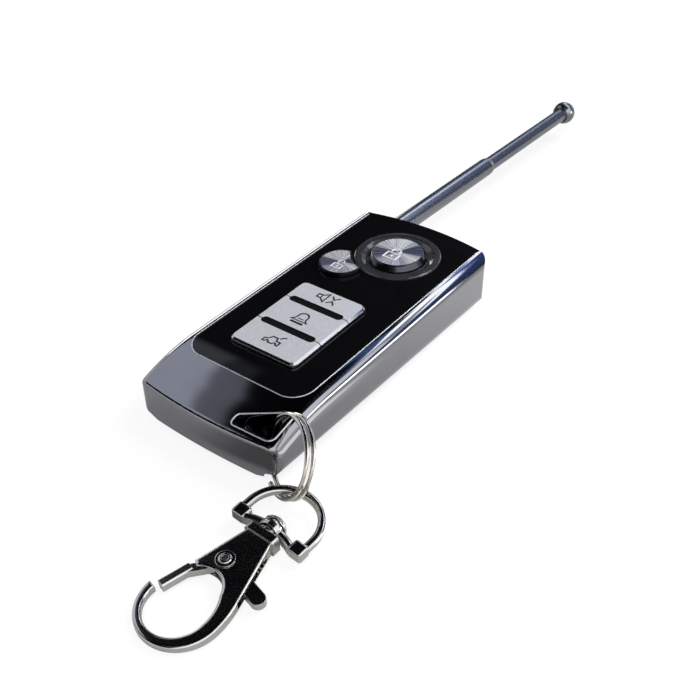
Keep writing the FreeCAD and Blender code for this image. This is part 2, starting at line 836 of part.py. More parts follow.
def controller_chip():
    """Main chip under the board, with two rows of legs."""
    x, v = (board_left + board_right) / 2, main_v - chip_back
    body = block(x - chip_width / 2, x + chip_width / 2, v - chip_length / 2, v + chip_length / 2,
                 board_bottom - chip_height, board_bottom - chip_standoff)
    legs = []
    for index in range(chip_leg_count):
        at = v + (index - (chip_leg_count - 1) / 2) * chip_leg_pitch - chip_leg_width / 2
        for x0 in (x - chip_width / 2 - chip_leg_reach, x + chip_width / 2):
            legs.append(block(x0, x0 + chip_leg_reach, at, at + chip_leg_width,
                              board_bottom - chip_leg_height, board_bottom))
    return on_deck(body.fuse(legs).removeSplitter())


def crystal_can():
    """Round metal can of the resonator, on top of the board beside the main button."""
    v = main_v - can_back
    flange = disc(can_radius + can_flange, can_x, v, board_top, board_top + can_flange)
    return on_deck(flange.fuse(disc(can_radius, can_x, v, board_top, board_top + can_height)).removeSplitter())


def antenna_coil():
    """Wound loading coil under the board, in its sleeve."""
    x, v = board_left + coil_radius + coil_margin, main_v - coil_back - coil_length / 2
    return on_deck(rod(coil_radius, x, board_bottom - coil_radius, v, v + coil_length))


def status_light():
    """Small light on the board under the clear ring."""
    at = main_skirt_radius + flange_width + led_radius
    angle = math.radians(led_angle)
    x, v = main_x + at * math.cos(angle), main_v + at * math.sin(angle)
    return on_deck(disc(led_radius, x, v, board_top, board_top + led_height))


def small_parts():
    """Resistors and capacitors on the underside of the board."""
    parts = []
    for row in range(small_part_rows):
        for column in range(small_part_columns):
            x = board_left + small_part_inset + column * small_part_column_pitch
            v = pad_tail + small_part_from_pad + row * small_part_row_pitch
            parts.append(block(x, x + small_part_length, v, v + small_part_width,
                               board_bottom - small_part_height, board_bottom))
    return on_deck(Part.makeCompound(parts))


def battery():
    """Small round 12 V cell with its cap toward the head."""
    z = battery_z()
    can = rod(battery_radius, battery_x, z, battery_tail, battery_head)
    rims = [e for e in can.Edges if len(e.Vertexes) == 1]
    can = can.makeFillet(battery_edge_radius, rims)
    cap = rod(cap_radius, battery_x, z, battery_head - battery_edge_radius, battery_head + cap_length)
    return can.fuse(cap).removeSplitter()


def contact_plate(y):
    """Flat contact against an end wall of the bay, y to y + its thickness."""
    z = battery_z()
    half = contact_width / 2
    return block(battery_x - half, battery_x + half, y, y + contact_thickness,
                 z - contact_height / 2, z + contact_height / 2)


def battery_contacts():
    """Contact plates at both ends of the bay."""
    box = bay_box(0).BoundBox
    return Part.makeCompound([contact_plate(box.YMin), contact_plate(box.YMax - contact_thickness)])


def biarc(p0, t0, p1, t1):
    """Two arcs from p0 along t0 to p1 along t1, as edges."""
    chord, sum_t = p1 - p0, t0 + t1
    a, b, c = 2 * (t0.dot(t1) - 1), -2 * chord.dot(sum_t), chord.dot(chord)
    length = -c / b if abs(a) < 1e-9 else (-b - math.sqrt(b * b - 4 * a * c)) / (2 * a)
    join = (p0 + t0 * length + p1 - t1 * length) / 2
    edges = []
    for start, corner, end in ((p0, p0 + t0 * length, join), (join, p1 - t1 * length, p1)):
        half = (end - start) / 2
        foot = (start + end) / 2
        cosine = half.Length / length
        top = foot + (corner - foot) * (cosine / (1 + cosine))
        edges.append(arc(start, top, end) if (top - foot).Length > 1e-6 else line(start, end))
    return edges


def tube_along(edges, start, direction, radius):
    """Round tube along the joined edges."""
    ring = Part.Wire(Part.Circle(start, direction, radius).toShape())
    shell = Part.BRepOffsetAPI.MakePipeShell(Part.Wire(edges))
    shell.add(ring)
    shell.build()
    shell.makeSolid()
    return shell.shape()


def coil(radius, length, turns, wire):
    """Open coil along Y from 0 to the length, its ends straight for one wire diameter."""
    bend = 1.2 * wire
    low, high = wire + bend, length - wire - bend
    rise = (high - low) / turns
    climb = math.atan2(rise, 2 * math.pi * radius)

    def at(angle):
        """Point and direction on the helix."""
        point = V(radius * math.cos(angle), low + rise * angle / (2 * math.pi), radius * math.sin(angle))
        along = V(-math.sin(angle) * math.cos(climb), math.sin(climb), math.cos(angle) * math.cos(climb))
        return point, along

    stations = [at(math.pi / 2 * index) for index in range(4 * turns + 1)]
    side, lift = bend * (1 - math.sqrt(0.5)), bend * math.sqrt(0.5)
    entry, leave = V(radius, low, bend), V(radius, high, -bend)
    edges = [line(V(radius, 0, 0), V(radius, wire, 0)),
             arc(V(radius, wire, 0), V(radius, wire + lift, side), entry)]
    edges += biarc(entry, Z_AXIS, *stations[1])
    for start, end in zip(stations[1:-2], stations[2:-1]):
        edges += biarc(*start, *end)
    edges += biarc(*stations[-2], leave, Z_AXIS)
    edges += [arc(leave, V(radius, length - wire - lift, -side), V(radius, length - wire, 0)),
              line(V(radius, length - wire, 0), V(radius, length, 0))]
    return edges, tube_along(edges, V(radius, 0, 0), Y_AXIS, wire / 2)


def least_gap(edges, wire, pitch_length):
    """Least distance between stretches of a wound wire that are over half a turn apart."""
    points = []
    for edge in edges:
        points += edge.discretize(12)[:-1]
    at = [0.0]
    for a, b in zip(points, points[1:]):
        at.append(at[-1] + (b - a).Length)
    least = 1e9
    for i, a in enumerate(points):
        for j in range(i + 1, len(points)):
            if at[j] - at[i] > pitch_length / 2:
                least = min(least, (a - points[j]).Length)
    return least - wire


def battery_spring():
    """Coil spring that presses the battery against the far contact."""
    edges, tube = coil(spring_radius, spring_length, spring_turns, spring_wire)
    print("battery spring gap", round(least_gap(edges, spring_wire, 2 * math.pi * spring_radius), 3))
    tube.translate(V(battery_x, battery_tail - spring_length, battery_z()))
    return tube


def case_screws():
    """Four screws from the back cover into the bosses of the case."""
    screws = []
    across, along = screw_slot / 2, screw_slot_length / 2
    for x, y in screw_places:
        z = belly_z(x) + screw_head_sink
        head = disc(screw_head_radius, x, y, z, z + screw_head_height)
        head = head.cut([block(x - across, x + across, y - along, y + along, z - 1, z + screw_slot),
                         block(x - along, x + along, y - across, y + across, z - 1, z + screw_slot)])
        shank = disc(screw_radius, x, y, z + screw_head_height, z + screw_length)
        screws.append(head.fuse(shank).removeSplitter())
    return Part.makeCompound(screws)


def antenna_bush():
    """Bush that carries the antenna in the head wall, with a flange inside."""
    wall_face = antenna_end - bush_proud - wall
    body = rod(bush_radius, antenna_x, antenna_z, wall_face - bush_flange_thickness, antenna_end)
    flange = rod(bush_flange_radius, antenna_x, antenna_z, wall_face - 2 * bush_flange_thickness,
                 wall_face - bush_flange_thickness)
    bore = rod(base_tube_radius, antenna_x, antenna_z, antenna_end - REACH / 2, antenna_end + 1)
    rim = body.Edges
    outer = [e for e in rim if abs(middle(e).y - antenna_end) < 1e-6]
    body = body.makeChamfer(bush_bevel, outer)
    return body.fuse(flange).cut(bore).removeSplitter()


def necked_tube(radius, y0, y1, inner_radius):
    """Tube along Y, drawn in at its far end to guide the tube of inner_radius."""
    bore = radius - tube_wall
    neck = inner_radius + neck_play
    points = [(bore, y0), (radius, y0), (radius, y1 - neck_length), (radius - neck_taper, y1), (neck, y1),
              (neck, y1 - neck_length), (bore, y1 - neck_length)]
    return revolved(points, V(antenna_x, 0, antenna_z), Y_AXIS)


def antenna_base_tube():
    """Tube fixed in the case, into which the antenna slides."""
    return necked_tube(base_tube_radius, base_tube_tail, antenna_end, middle_tube_radius)


def antenna_base_plug():
    """Plug that closes the inner end of the base tube."""
    return rod(base_tube_radius - tube_wall, antenna_x, antenna_z, base_tube_tail, base_tube_tail + plug_length)


def antenna_cradle():
    """Clip that holds the base tube to the cover and reaches up to the board."""
    y0 = base_tube_tail + cradle_from_tail
    outer = base_tube_radius + cradle_thickness
    floor = cover_thickness + belly_z(antenna_x)
    foot = block(antenna_x - base_tube_radius + cradle_thickness / 2, antenna_x + outer, y0, y0 + cradle_lead,
                 floor, antenna_z - base_tube_radius / 2)
    ring = rod(outer, antenna_x, antenna_z, y0, y0 + cradle_lead)
    below = block(antenna_x - outer, antenna_x + outer, y0, y0 + cradle_lead, floor, antenna_z + base_tube_radius / 2)
    clip = foot.fuse(ring.common(below)).cut(rod(base_tube_radius, antenna_x, antenna_z, y0 - 1, y0 + cradle_lead + 1))
    board_z = deck_z(y0) + board_bottom - mat_gap
    arm = block(antenna_x + base_tube_radius, board_left + cradle_shelf, y0, y0 + cradle_lead,
                board_z - cradle_thickness, board_z)
    under_board = block(board_left - mat_gap, REACH, y0 - 1, y0 + cradle_lead + 1, board_z, REACH)
    clip = clip.fuse(arm).cut(under_board)
    over_cover = bottom_form(wall, cover_thickness + flange_gap)
    over_lip = cover_outline(-rebate_width - cover_gap).fuse(
        block(-REACH, REACH, -REACH, REACH, cover_thickness + rebate_lip + belly_rise + cover_gap, REACH))
    return clip.common(over_cover).common(over_lip).removeSplitter()


def antenna_middle_tube():
    """First sliding tube, drawn out, necked at its far end."""
    start = antenna_end - tube_overlap
    return necked_tube(middle_tube_radius, start, middle_end, tip_tube_radius)


def friction_sleeve(outer_radius, inner_radius, y):
    """Sleeve on the inner end of a sliding tube, which rubs in the tube round it."""
    points = [(inner_radius, y), (outer_radius, y), (outer_radius, y + sleeve_length),
              (inner_radius, y + sleeve_length)]
    return revolved(points, V(antenna_x, 0, antenna_z), Y_AXIS)


def antenna_middle_sleeve():
    """Sleeve on the inner end of the middle tube."""
    stop = antenna_end - neck_length - stop_gap - sleeve_length
    return friction_sleeve(base_tube_radius - tube_wall - tube_play, middle_tube_radius, stop)


def antenna_tip_tube():
    """Last sliding tube, drawn out, closed at its inner end."""
    start = middle_end - tube_overlap
    tube = rod(tip_tube_radius, antenna_x, antenna_z, start, tip_end)
    return tube.cut(rod(tip_tube_radius - tube_wall, antenna_x, antenna_z, start + tube_wall, tip_end + 1))


def antenna_tip_sleeve():
    """Sleeve on the inner end of the tip tube."""
    stop = middle_end - neck_length - stop_gap - sleeve_length
    return friction_sleeve(middle_tube_radius - tube_wall - tube_play, tip_tube_radius, stop)


def antenna_ball():
    """Round end of the antenna, pressed over the tip tube."""
    face = tip_end - ball_socket
    centre = face + math.sqrt(ball_radius ** 2 - (tip_tube_radius + ball_seat) ** 2)
    ball = Part.makeSphere(ball_radius, V(antenna_x, centre, antenna_z))
    ball = ball.common(block(-REACH, REACH, face, face + REACH, -REACH, REACH))
    return ball.cut(rod(tip_tube_radius, antenna_x, antenna_z, face - 1, tip_end))


def split_ring_edges():
    """Centre line of the split ring: one flat turn, a ramp and a second flat turn."""
    low, high = -split_pitch / 2, split_pitch / 2
    half_ramp = split_ramp / 2
    first = half_ramp + split_end_gap
    last = 360 - half_ramp - split_end_gap

    def at(angle, height):
        """Point at the angle in degrees; 0 is where the wire steps between turns."""
        turn = math.radians(angle + split_phase)
        return V(split_radius * math.sin(turn), split_radius * math.cos(turn), height)

    def along(angle):
        """Direction of the flat wire at the angle."""
        turn = math.radians(angle + split_phase)
        return V(math.cos(turn), -math.sin(turn), 0)

    def flat(start, end, height):
        """Level turn in three arcs."""
        marks = [start + (end - start) * index / 6 for index in range(7)]
        return [arc(at(a, height), at(b, height), at(c, height))
                for a, b, c in zip(marks[0:-1:2], marks[1::2], marks[2::2])]

    climb = math.atan2(split_pitch * 1.6, math.radians(split_ramp) * split_radius)
    steep = along(0) * math.cos(climb) + Z_AXIS * math.sin(climb)
    edges = flat(first, 360 - half_ramp, low)
    edges += biarc(at(-half_ramp, low), along(-half_ramp), at(0, 0), steep)
    edges += biarc(at(0, 0), steep, at(half_ramp, high), along(half_ramp))
    edges += flat(half_ramp, last, high)
    return edges, at(first, low), along(first)


def split_ring_placement():
    """Placement that stands the split ring on the floor, leaning."""
    turn = FreeCAD.Rotation(Z_AXIS, split_azimuth).multiply(FreeCAD.Rotation(Y_AXIS, 90 - split_lean))
    lean = math.radians(split_lean)
    height = floor_gap + split_wire_radius + split_radius * math.cos(lean) + split_pitch / 2 * math.sin(lean)
    return FreeCAD.Placement(V(split_x, split_y, height), turn)


def key_ring():
    """Split ring of two turns through the corner window, standing on the floor."""
    edges, start, direction = split_ring_edges()
    print("key ring gap", round(least_gap(edges, 2 * split_wire_radius, 2 * math.pi * split_radius), 3))
    wire = tube_along(edges, start, direction, split_wire_radius)
    for end in (start, edges[-1].valueAt(edges[-1].LastParameter)):
        wire = wire.fuse(Part.makeSphere(split_wire_radius, end))
    return placed(wire.removeSplitter(), split_ring_placement())


def ring_relief():
    """Groove for the split ring under the corner of the case."""
    torus = placed(Part.makeTorus(split_radius, relief_radius), split_ring_placement())
    return torus.common(block(-REACH, REACH, -REACH, REACH, -1, relief_top))


def clasp_placement(hook):
    """Placement that lays the clasp on the floor, worked out from the hook as drawn."""
    turn = FreeCAD.Rotation(Z_AXIS, clasp_yaw).multiply(FreeCAD.Rotation(X_AXIS, clasp_pitch))
    laid = placed(hook, FreeCAD.Placement(V(clasp_x, clasp_y, 0), turn))
    return FreeCAD.Placement(V(clasp_x, clasp_y, floor_gap - laid.BoundBox.ZMin), turn)


def wire_section(x, y):
    """Rounded square face of the loop's wire, square to Y at the point."""
    half = loop_wire / 2
    section = rounded_block(x - half, x + half, -half, half, 0, 1, loop_wire_edge)
    face = [f for f in section.Faces if abs(f.CenterOfMass.z) < 1e-6][0]
    face = placed(face, FreeCAD.Placement(V(0, y, 0), FreeCAD.Rotation(X_AXIS, 90)))
    return face


def swivel_ring():
    """D-shaped loop with square lugs, and an arched bridge that the swivel pin goes through."""
    bow = wire_section(loop_radius, loop_leg).revolve(V(0, loop_leg, 0), Z_AXIS, 180)
    side = loop_radius + loop_wire / 2
    leg = loop_leg - lug_base - lug_height
    pieces = [bow]
    for x in (-loop_radius, loop_radius):
        pieces.append(wire_section(x, loop_leg - leg - 0.5).extrude(V(0, leg + 0.5, 0)))
    for x in (-side, side - lug_width):
        lug = block(x, x + lug_width, lug_base, lug_base + lug_height, -lug_thickness / 2, lug_thickness / 2)
        pieces.append(lug.makeFillet(lug_edge_radius, lug.Edges))
    reach = bridge_reach()
    low = [V(-reach, lug_base, 0), V(0, lug_base + bridge_rise, 0), V(reach, lug_base, 0)]
    lift = V(0, bridge_thickness, 0)
    high = [p + lift for p in low]
    edges = [arc(*low), line(low[2], high[2]), arc(high[2], high[1], high[0]), line(high[0], low[0])]
    band = prism(edges, V(0, 0, 2 * bridge_eye_radius))
    band.translate(V(0, 0, -bridge_eye_radius))
    eye = band.common(Part.makeSphere(bridge_eye_radius, low[1] + lift / 2))
    spine = arc(*[p + lift / 2 for p in low])
    start = spine.tangentAt(spine.FirstParameter)
    arms = tube_along([spine], low[0] + lift / 2, start, bridge_arm_radius).common(band)
    loop = fused(pieces + [arms, eye])
    loop = loop.cut(rod(pin_shank_radius + pin_play, 0, 0, -REACH / 6, REACH / 6))
    return placed(loop.removeSplitter(), FreeCAD.Placement(V(), FreeCAD.Rotation(Y_AXIS, loop_roll)))


def bridge_reach():
    """Half length of the bridge, into the lugs."""
    return loop_radius + loop_wire / 2 - lug_width + 0.3


def bridge_top():
    """Local y of the bridge's upper face on the swivel axis."""
    return lug_base + bridge_rise + bridge_thickness


def swivel_pin():
    """Rivet-like pin: a domed head inside the loop and a shank into the neck of the hook."""
    seat = bridge_top() + pin_end_gap
    dome = Part.makeSphere(pin_dome_radius, V(0, seat + pin_head_height - pin_dome_radius, 0))
    head = rod(pin_head_radius, 0, 0, seat, seat + pin_head_height).common(dome)
    return head.fuse(rod(pin_shank_radius, 0, 0, pin_end_y, seat + 0.2)).removeSplitter()


def hook_half(y):
    """Half thickness of the hook at the local y."""
    far = band_y - band_radius
    return (hook_neck_thickness + (hook_end_thickness - hook_neck_thickness) * y / far) / 2


def hook_outline():
    """Flat face of the hook: neck, body, band and tip, open where the gate closes it."""
    right = band_x + band_radius
    bend = V(right - side_curve_radius * (1 - math.cos(side_curve_turn)),
             band_y + side_curve_radius * math.sin(side_curve_turn), 0)
    half = side_curve_turn / 2
    curve = V(right - side_curve_radius * (1 - math.cos(half)), band_y + side_curve_radius * math.sin(half), 0)
    neck_left, neck_right = V(-neck_half_width, neck_y, 0), V(neck_half_width, neck_y, 0)
    corner, nub, arch = V(corner_x, corner_y, 0), V(nub_x, nub_y, 0), V(arch_right_x, arch_right_y, 0)
    eye_right = V(eye_x + eye_radius, eye_y, 0)
    side = V((arch.x + eye_right.x) / 2 + eye_side_bend, (arch.y + eye_right.y) / 2, 0)
    tip_inner = V(eye_x - math.sqrt(eye_radius ** 2 - (tip_inner_y - eye_y) ** 2), tip_inner_y, 0)
    tip_outer = V(band_x - math.sqrt(band_radius ** 2 - (tip_outer_y - band_y) ** 2), tip_outer_y, 0)
    band_right = V(right, band_y, 0)
    edges = [line(neck_right, neck_left),
             line(neck_left, corner),
             line(corner, nub),
             arc(nub, V(arch_top_x, arch_top_y, 0), arch),
             arc(arch, side, eye_right),
             arc(eye_right, V(eye_x, eye_y - eye_radius, 0), tip_inner),
             line(tip_inner, tip_outer),
             arc(tip_outer, V(band_x, band_y - band_radius, 0), band_right),
             arc(band_right, curve, bend),
             line(bend, neck_right)]
    return Part.Face(Part.Wire(edges))


def hook_body():
    """Hook with its neck and collar, slotted for the gate's lever."""
    body = hook_outline().extrude(V(0, 0, REACH))
    body.translate(V(0, 0, -REACH / 2))
    profile = Part.makePolygon([V(-REACH, y, side * hook_half(y)) for y, side in
                                ((0, 1), (-REACH, 1), (-REACH, -1), (0, -1), (0, 1))])
    body = body.common(Part.Face(profile).extrude(V(2 * REACH, 0, 0)))
    rims = [e for e in body.Edges
            if abs(abs(middle(e).z) - hook_half(middle(e).y)) < 1e-4 and middle(e).y < neck_y - 0.1]
    body = body.makeFillet(hook_edge_radius, rims)
    collar_top = lug_base + bridge_rise * (1 - (collar_half_width / bridge_reach()) ** 2) - collar_gap
    collar = rounded_block(-collar_half_width, collar_half_width, -collar_thickness / 2, collar_thickness / 2,
                           0, collar_top - neck_y + 0.3, collar_corner_radius)
    top = [e for e in collar.Edges if abs(middle(e).z) < 1e-6]
    collar = collar.makeChamfer(collar_edge, top)
    collar = placed(collar, FreeCAD.Placement(V(0, collar_top, 0), FreeCAD.Rotation(X_AXIS, 90)))
    boss_top = lug_base + bridge_rise * (1 - (boss_top_radius / bridge_reach()) ** 2) - collar_gap
    boss = rod(boss_top_radius, 0, 0, collar_top - 0.5, boss_top)
    body = body.fuse([collar, boss])
    body = body.cut(block(-REACH, REACH, slot_end_y, slot_top_y, -lever_thickness / 2 - slot_play,
                          lever_thickness / 2 + slot_play))
    body = body.cut(rod(pin_shank_radius, 0, 0, pin_end_y, REACH / 6))
    return body.cut(disc(rivet_radius, rivet_x, rivet_y, -REACH, REACH)).removeSplitter()


def hook_rivet():
    """Hollow rivet that the gate turns on."""
    half = hook_half(rivet_y + rivet_head_radius)
    face = half + rivet_head_height
    heads = disc(rivet_head_radius, rivet_x, rivet_y, -face, face).cut(
        disc(rivet_head_radius + 1, rivet_x, rivet_y, -half, half))
    bead = disc(rivet_radius, rivet_x, rivet_y, -face - rivet_bead_height, face + rivet_bead_height)
    bead = bead.makeFillet(rivet_bead_height, [e for e in bead.Edges if len(e.Vertexes) == 1])
    bore = disc(rivet_bore, rivet_x, rivet_y, -REACH, REACH)
    return bead.fuse(heads).cut(bore).removeSplitter()


def lever_arm(x0, y0, x1, y1, width, half):
    """Flat bar between two points, round at its far end."""
    along = V(x1 - x0, y1 - y0, 0).normalize()
    side = V(-along.y, along.x, 0) * (width / 2)
    points = [V(x0, y0, -half) + side, V(x0, y0, -half) - side, V(x1, y1, -half) - side, V(x1, y1, -half) + side]
    bar = Part.Face(Part.makePolygon(points + points[:1])).extrude(V(0, 0, 2 * half))
    return bar.fuse(disc(width / 2, x1, y1, -half, half))


def hook_gate():
    """Gate of the hook in one piece with its lever and thumb tab."""
    half = lever_thickness / 2
    head, foot = V(gate_head_x, gate_head_y, 0), V(gate_foot_x, gate_foot_y, 0)
    along = (foot - head).normalize()
    hub = disc(hub_radius, rivet_x, rivet_y, -half, half)
    thumb = lever_arm(rivet_x, rivet_y, rivet_x + thumb_reach, rivet_y - thumb_drop, thumb_width, half)
    root = head + along * (gate_width / 2)
    arm = lever_arm(rivet_x, rivet_y, root.x, root.y, gate_width, half)
    side = V(-along.y, along.x, 0) * (gate_width / 2)
    drop = V(0, 0, -gate_thickness / 2)
    corners = [head + side + drop, head - side + drop, foot - side + drop, foot + side + drop]
    bar = Part.Face(Part.makePolygon(corners + corners[:1])).extrude(V(0, 0, gate_thickness))
    bar = bar.makeChamfer(gate_chamfer, [e for e in bar.Edges if e.Length > gate_thickness + 0.5])
    gate = hub.fuse([thumb, arm, bar])
    return gate.cut(disc(rivet_radius + rivet_play, rivet_x, rivet_y, -REACH, REACH)).removeSplitter()


def gate_spring():
    """Coil spring between the neck and the lever, which closes the gate."""
    lean = math.atan2(thumb_drop, thumb_reach)
    seat = rivet_y - (gate_coil_x - rivet_x) * math.tan(lean) + thumb_width / 2 / math.cos(lean) + 0.12
    length = slot_top_y - seat
    edges, tube = coil(gate_coil_radius, length, gate_coil_turns, gate_wire)
    print("gate spring gap", round(least_gap(edges, gate_wire, 2 * math.pi * gate_coil_radius), 3))
    tube.translate(V(gate_coil_x, seat, 0))
    return tube


def main():
    """Build every piece and write one STEP file for each."""
    hook = hook_body()
    laid = clasp_placement(hook)
    pieces = {
        "upper_case": upper_case(),
        "rear_cover": rear_cover(),
        "battery_door": battery_door(),
        "face_panel": face_panel(),
        "lens_ring": lens_ring(),
        "lock_button": lock_button(),
        "lock_disc": lock_disc(),
        "unlock_button": unlock_button(),
        "unlock_disc": unlock_disc(),
        "boot_key": pad_key(pad_tail, boot_split),
        "bell_key": pad_key(boot_split, mute_split),
        "mute_key": pad_key(mute_split, pad_head),
        "keypad_mat": keypad_mat(),
        "circuit_board": circuit_board(),
        "tact_switches": tact_switches(),
        "controller_chip": controller_chip(),
        "crystal_can": crystal_can(),
        "antenna_coil": antenna_coil(),
        "status_light": status_light(),
        "small_parts": small_parts(),
        "battery": battery(),
        "battery_contacts": battery_contacts(),
        "battery_spring": battery_spring(),
        "case_screws": case_screws(),
        "antenna_bush": antenna_bush(),
        "antenna_base_tube": antenna_base_tube(),
        "antenna_base_plug": antenna_base_plug(),
        "antenna_cradle": antenna_cradle(),
        "antenna_middle_tube": antenna_middle_tube(),
        "antenna_middle_sleeve": antenna_middle_sleeve(),
        "antenna_tip_tube": antenna_tip_tube(),
        "antenna_tip_sleeve": antenna_tip_sleeve(),
        "antenna_ball": antenna_ball(),
        "key_ring": key_ring(),
        "swivel_ring": placed(swivel_ring(), laid),
        "swivel_pin": placed(swivel_pin(), laid),
        "hook_body": placed(hook, laid),
        "hook_rivet": placed(hook_rivet(), laid),
        "hook_gate": placed(hook_gate(), laid),
        "gate_spring": placed(gate_spring(), laid),
    }
    os.makedirs("parts", exist_ok=True)
    for name, shape in pieces.items():
        shape.exportStep(f"parts/{name}.step")
        box = shape.BoundBox
        print(name, len(shape.Solids), shape.isValid(), round(shape.Volume, 1),
              [round(v, 1) for v in (box.XMin, box.YMin, box.ZMin, box.XMax, box.YMax, box.ZMax)])


main()
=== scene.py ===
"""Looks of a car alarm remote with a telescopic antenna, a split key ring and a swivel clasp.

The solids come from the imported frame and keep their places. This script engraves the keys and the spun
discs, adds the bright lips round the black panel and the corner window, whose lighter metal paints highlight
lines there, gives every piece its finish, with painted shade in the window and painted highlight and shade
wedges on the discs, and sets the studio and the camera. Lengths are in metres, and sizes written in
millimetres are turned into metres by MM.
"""

import json
import logging
import math
from dataclasses import dataclass, field
from enum import Enum
from typing import Optional, Sequence, Union

import bmesh
import bpy
from mathutils import Matrix, Vector

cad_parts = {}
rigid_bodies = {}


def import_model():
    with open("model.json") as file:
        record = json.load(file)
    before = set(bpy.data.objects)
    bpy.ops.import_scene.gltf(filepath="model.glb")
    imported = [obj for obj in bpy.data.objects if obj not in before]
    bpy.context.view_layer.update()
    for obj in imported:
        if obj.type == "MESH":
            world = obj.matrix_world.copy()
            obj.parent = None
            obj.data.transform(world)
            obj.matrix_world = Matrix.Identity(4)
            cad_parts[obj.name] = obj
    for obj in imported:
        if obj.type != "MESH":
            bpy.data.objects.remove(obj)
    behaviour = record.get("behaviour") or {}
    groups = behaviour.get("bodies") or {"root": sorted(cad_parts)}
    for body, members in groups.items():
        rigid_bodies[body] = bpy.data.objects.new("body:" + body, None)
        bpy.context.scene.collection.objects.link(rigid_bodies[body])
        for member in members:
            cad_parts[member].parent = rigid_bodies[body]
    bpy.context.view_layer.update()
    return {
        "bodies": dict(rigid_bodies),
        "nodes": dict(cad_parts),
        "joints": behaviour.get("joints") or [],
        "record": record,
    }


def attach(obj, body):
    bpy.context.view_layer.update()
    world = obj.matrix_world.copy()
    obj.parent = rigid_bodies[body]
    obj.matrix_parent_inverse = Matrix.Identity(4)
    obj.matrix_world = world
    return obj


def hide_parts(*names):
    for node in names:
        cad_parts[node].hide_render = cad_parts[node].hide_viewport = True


MM = 0.001
Colour = tuple[float, float, float]
Point = tuple[float, float]
Place = tuple[float, float, float]
# The shares of x and y, where a patch starts and where it is full
Edge = tuple[float, float, float, float]
Socket = bpy.types.NodeSocket
Value = Union[float, Colour, Socket]
WHITE = (1.0, 1.0, 1.0)
SHARP_RAYS = ("Is Camera Ray", "Is Glossy Ray", "Is Transmission Ray")
log = logging.getLogger("remote")


class Side(Enum):
    """Which way a padlock's shackle stands."""

    CLOSED = 0.0
    OPEN = 1.0


def linked(name: str, data: bpy.types.ID) -> bpy.types.Object:
    """Puts an object into the scene.

    Args:
        name: its name.
        data: its mesh, curve, light or camera.

    Returns:
        The object.
    """
    obj = bpy.data.objects.new(name, data)
    bpy.context.scene.collection.objects.link(obj)
    return obj


def finished(name: str, mesh: bmesh.types.BMesh) -> bpy.types.Mesh:
    """Turns a bmesh into a mesh of this name, and frees it.

    Args:
        name: name of the mesh.
        mesh: the bmesh.

    Returns:
        The mesh.
    """
    data = bpy.data.meshes.new(name)
    mesh.to_mesh(data)
    mesh.free()
    return data


# Shader nodes


